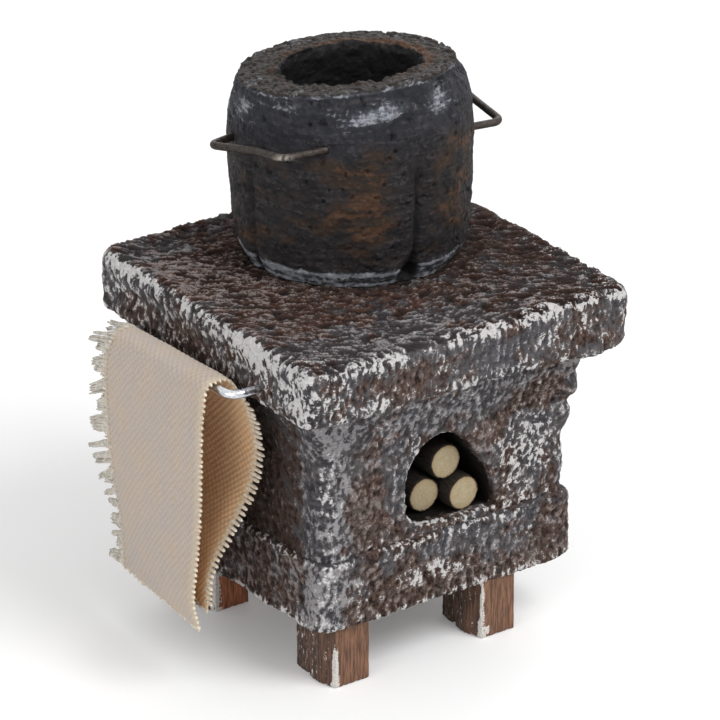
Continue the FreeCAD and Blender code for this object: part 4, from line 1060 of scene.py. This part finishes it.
cut_cork = mix(tree, grains(tree, (0.45, 1.2, 0.8), 4.0, 0.7), (15, 11, 9), (50, 42, 36))
tan = ramp(tree, mix_number(tree, 0.4, "mouth", fleck), 0.42, 0.66)
cut_cork = mix(tree, tan, cut_cork, (84, 56, 38), 0.7)
coal = mix(tree, "rim", coal, cut_cork)
# Near black on the bore and clefts: partly soot, partly painted shade.
coal = mix(tree, "soot", coal, (2, 2, 4))
haze = maths(tree, "MULTIPLY", ramp(tree, "cover", 0.08, 0.75),
             grains(tree, (0.8, 0.8, 0.5), 5.0, 0.75))
coal = mix(tree, haze, coal, (104, 108, 116))
white = brushed(tree, Cover="cover", Height=height, Speck=0.45, Grip=0.62, Softness=0.26)
coal = mix(tree, white, coal, (176, 179, 187), 0.62)
feed(tree, shader, Base_Color=coal, Roughness=ramp(tree, fleck, 0.0, 1.0, 0.55, 0.8),
     Specular_IOR_Level=0.25,
     Normal=bump(tree, mix_number(tree, 0.4, fleck, grains(tree, 0.18)), 0.12, 0.75))
dress(pot, iron, "pot", "cooking_pot")

# Pot handles: two bent wires pushed into the pot's wall, browned, with the coating rubbed
# off to bright steel on the outside of the bend.
RUBBED_BENDS = ((-12.26, -2.1, 60.1), (20.54, 9.1, 60.8))
dark, tree, shader = new_material("Browned wire")
scale = grains(tree, 0.5, 4.0, 0.65)
tarnish = mix(tree, scale, (29, 26, 25), (72, 63, 57))
place = millimetres(tree)
rubbed = 0.0
for bend_place in RUBBED_BENDS:
    gap = add_node(tree, "ShaderNodeVectorMath", {
        0: place, 1: tuple(STOVE_MIDDLE + bend_place)}, operation="DISTANCE").outputs["Value"]
    rubbed = maths(tree, "ADD", rubbed, ramp(tree, gap, 0.6, 2.0, 1.0, 0.0))
rubbed = maths(tree, "MULTIPLY", rubbed, ramp(tree, scale, 0.0, 0.6))
feed(tree, shader, Base_Color=mix(tree, rubbed, tarnish, (176, 168, 160)),
     Metallic=ramp(tree, rubbed, 0.0, 1.0, 0.55, 1.0),
     Roughness=ramp(tree, rubbed, 0.0, 1.0, 0.5, 0.25), Normal=bump(tree, scale, 0.06, 0.6))
coat("pot_handle_left", dark)
coat("pot_handle_right", dark)

# Studio: a pale floor, an even pale surround and three broad soft lamps, seen as in the
# photograph from the left and a little above.
VIEW_RISE, VIEW_ROLL = math.radians(23.72), math.radians(-0.06)
VIEW_DISTANCE, VIEW_AIM = 576.4, Vector(STOVE_MIDDLE) + Vector((0.33, 0, 31.66))
SENSOR_WIDTH, FOCAL_SHARE = 36, 4795.6 / 720
# Each lamp's place from the middle of the view, its width in metres and its power
LAMPS = {
    "Key lamp": ((0.16, -0.42, 0.5), 0.4, 2.7),
    "Fill lamp": ((-0.55, -0.2, 0.2), 0.5, 1.2),
    "Far lamp": ((0.5, 0.45, 0.35), 0.5, 1.5),
}
FLOOR_REACH, FLOOR_DROP = 3, 0.00005

back_way = Vector((math.sin(VIEW_TURN) * math.cos(VIEW_RISE),
                   -math.cos(VIEW_TURN) * math.cos(VIEW_RISE), math.sin(VIEW_RISE)))
right_way = Vector((math.cos(VIEW_TURN), math.sin(VIEW_TURN), 0))
up_way = back_way.cross(right_way)
turned_right = right_way * math.cos(VIEW_ROLL) + up_way * math.sin(VIEW_ROLL)
turned_up = up_way * math.cos(VIEW_ROLL) - right_way * math.sin(VIEW_ROLL)
lens = bpy.data.cameras.new("Studio camera")
lens.sensor_fit = "HORIZONTAL"
lens.sensor_width = SENSOR_WIDTH
lens.lens = SENSOR_WIDTH * FOCAL_SHARE
lens.clip_start = 0.01
camera = new_piece("Studio camera", lens)
camera.matrix_world = (Matrix.Translation((VIEW_AIM + back_way * VIEW_DISTANCE) * MM)
                       @ Matrix((turned_right, turned_up, back_way)).transposed().to_4x4())
bpy.context.scene.camera = camera

for name, (away, width, power) in LAMPS.items():
    light = bpy.data.lights.new(name, "AREA")
    light.shape = "DISK"
    light.size = width
    light.energy = power
    lamp = new_piece(name, light)
    lamp.location = VIEW_AIM * MM + Vector(away)
    lamp.rotation_euler = Vector(away).to_track_quat("Z", "Y").to_euler()

floor_mesh = bpy.data.meshes.new("studio_floor")
floor_mesh.from_pydata([(FLOOR_REACH * x, FLOOR_REACH * y, 0) for x, y in (
    (-1, -1), (1, -1), (1, 1), (-1, 1))], [], [(0, 1, 2, 3)])
floor = new_piece("studio_floor", floor_mesh)
floor.location.z = -FLOOR_DROP
paper, tree, shader = new_material("Pale paper")
seen = add_node(tree, "ShaderNodeLightPath").outputs["Is Camera Ray"]
feed(tree, shader, Base_Color=(0.9, 0.9, 0.9, 1), Roughness=0.9,
     Emission_Color=(1, 1, 1, 1), Emission_Strength=maths(tree, "MULTIPLY", seen, 0.12))
floor_mesh.materials.append(paper)

world = bpy.data.worlds.new("Studio surround")
bpy.context.scene.world = world
world.use_nodes = True
tree = world.node_tree
seen = add_node(tree, "ShaderNodeLightPath")
direct = maths(tree, "MAXIMUM", seen.outputs["Is Camera Ray"], seen.outputs["Is Glossy Ray"])
direct = maths(tree, "MAXIMUM", direct, seen.outputs["Is Transmission Ray"])
background = tree.nodes["Background"]
background.inputs["Color"].default_value = (1, 1, 1, 1)
tree.links.new(ramp(tree, direct, 0.0, 1.0, 0.55, 1.0), background.inputs["Strength"])
bpy.context.scene.view_settings.view_transform = "Standard"
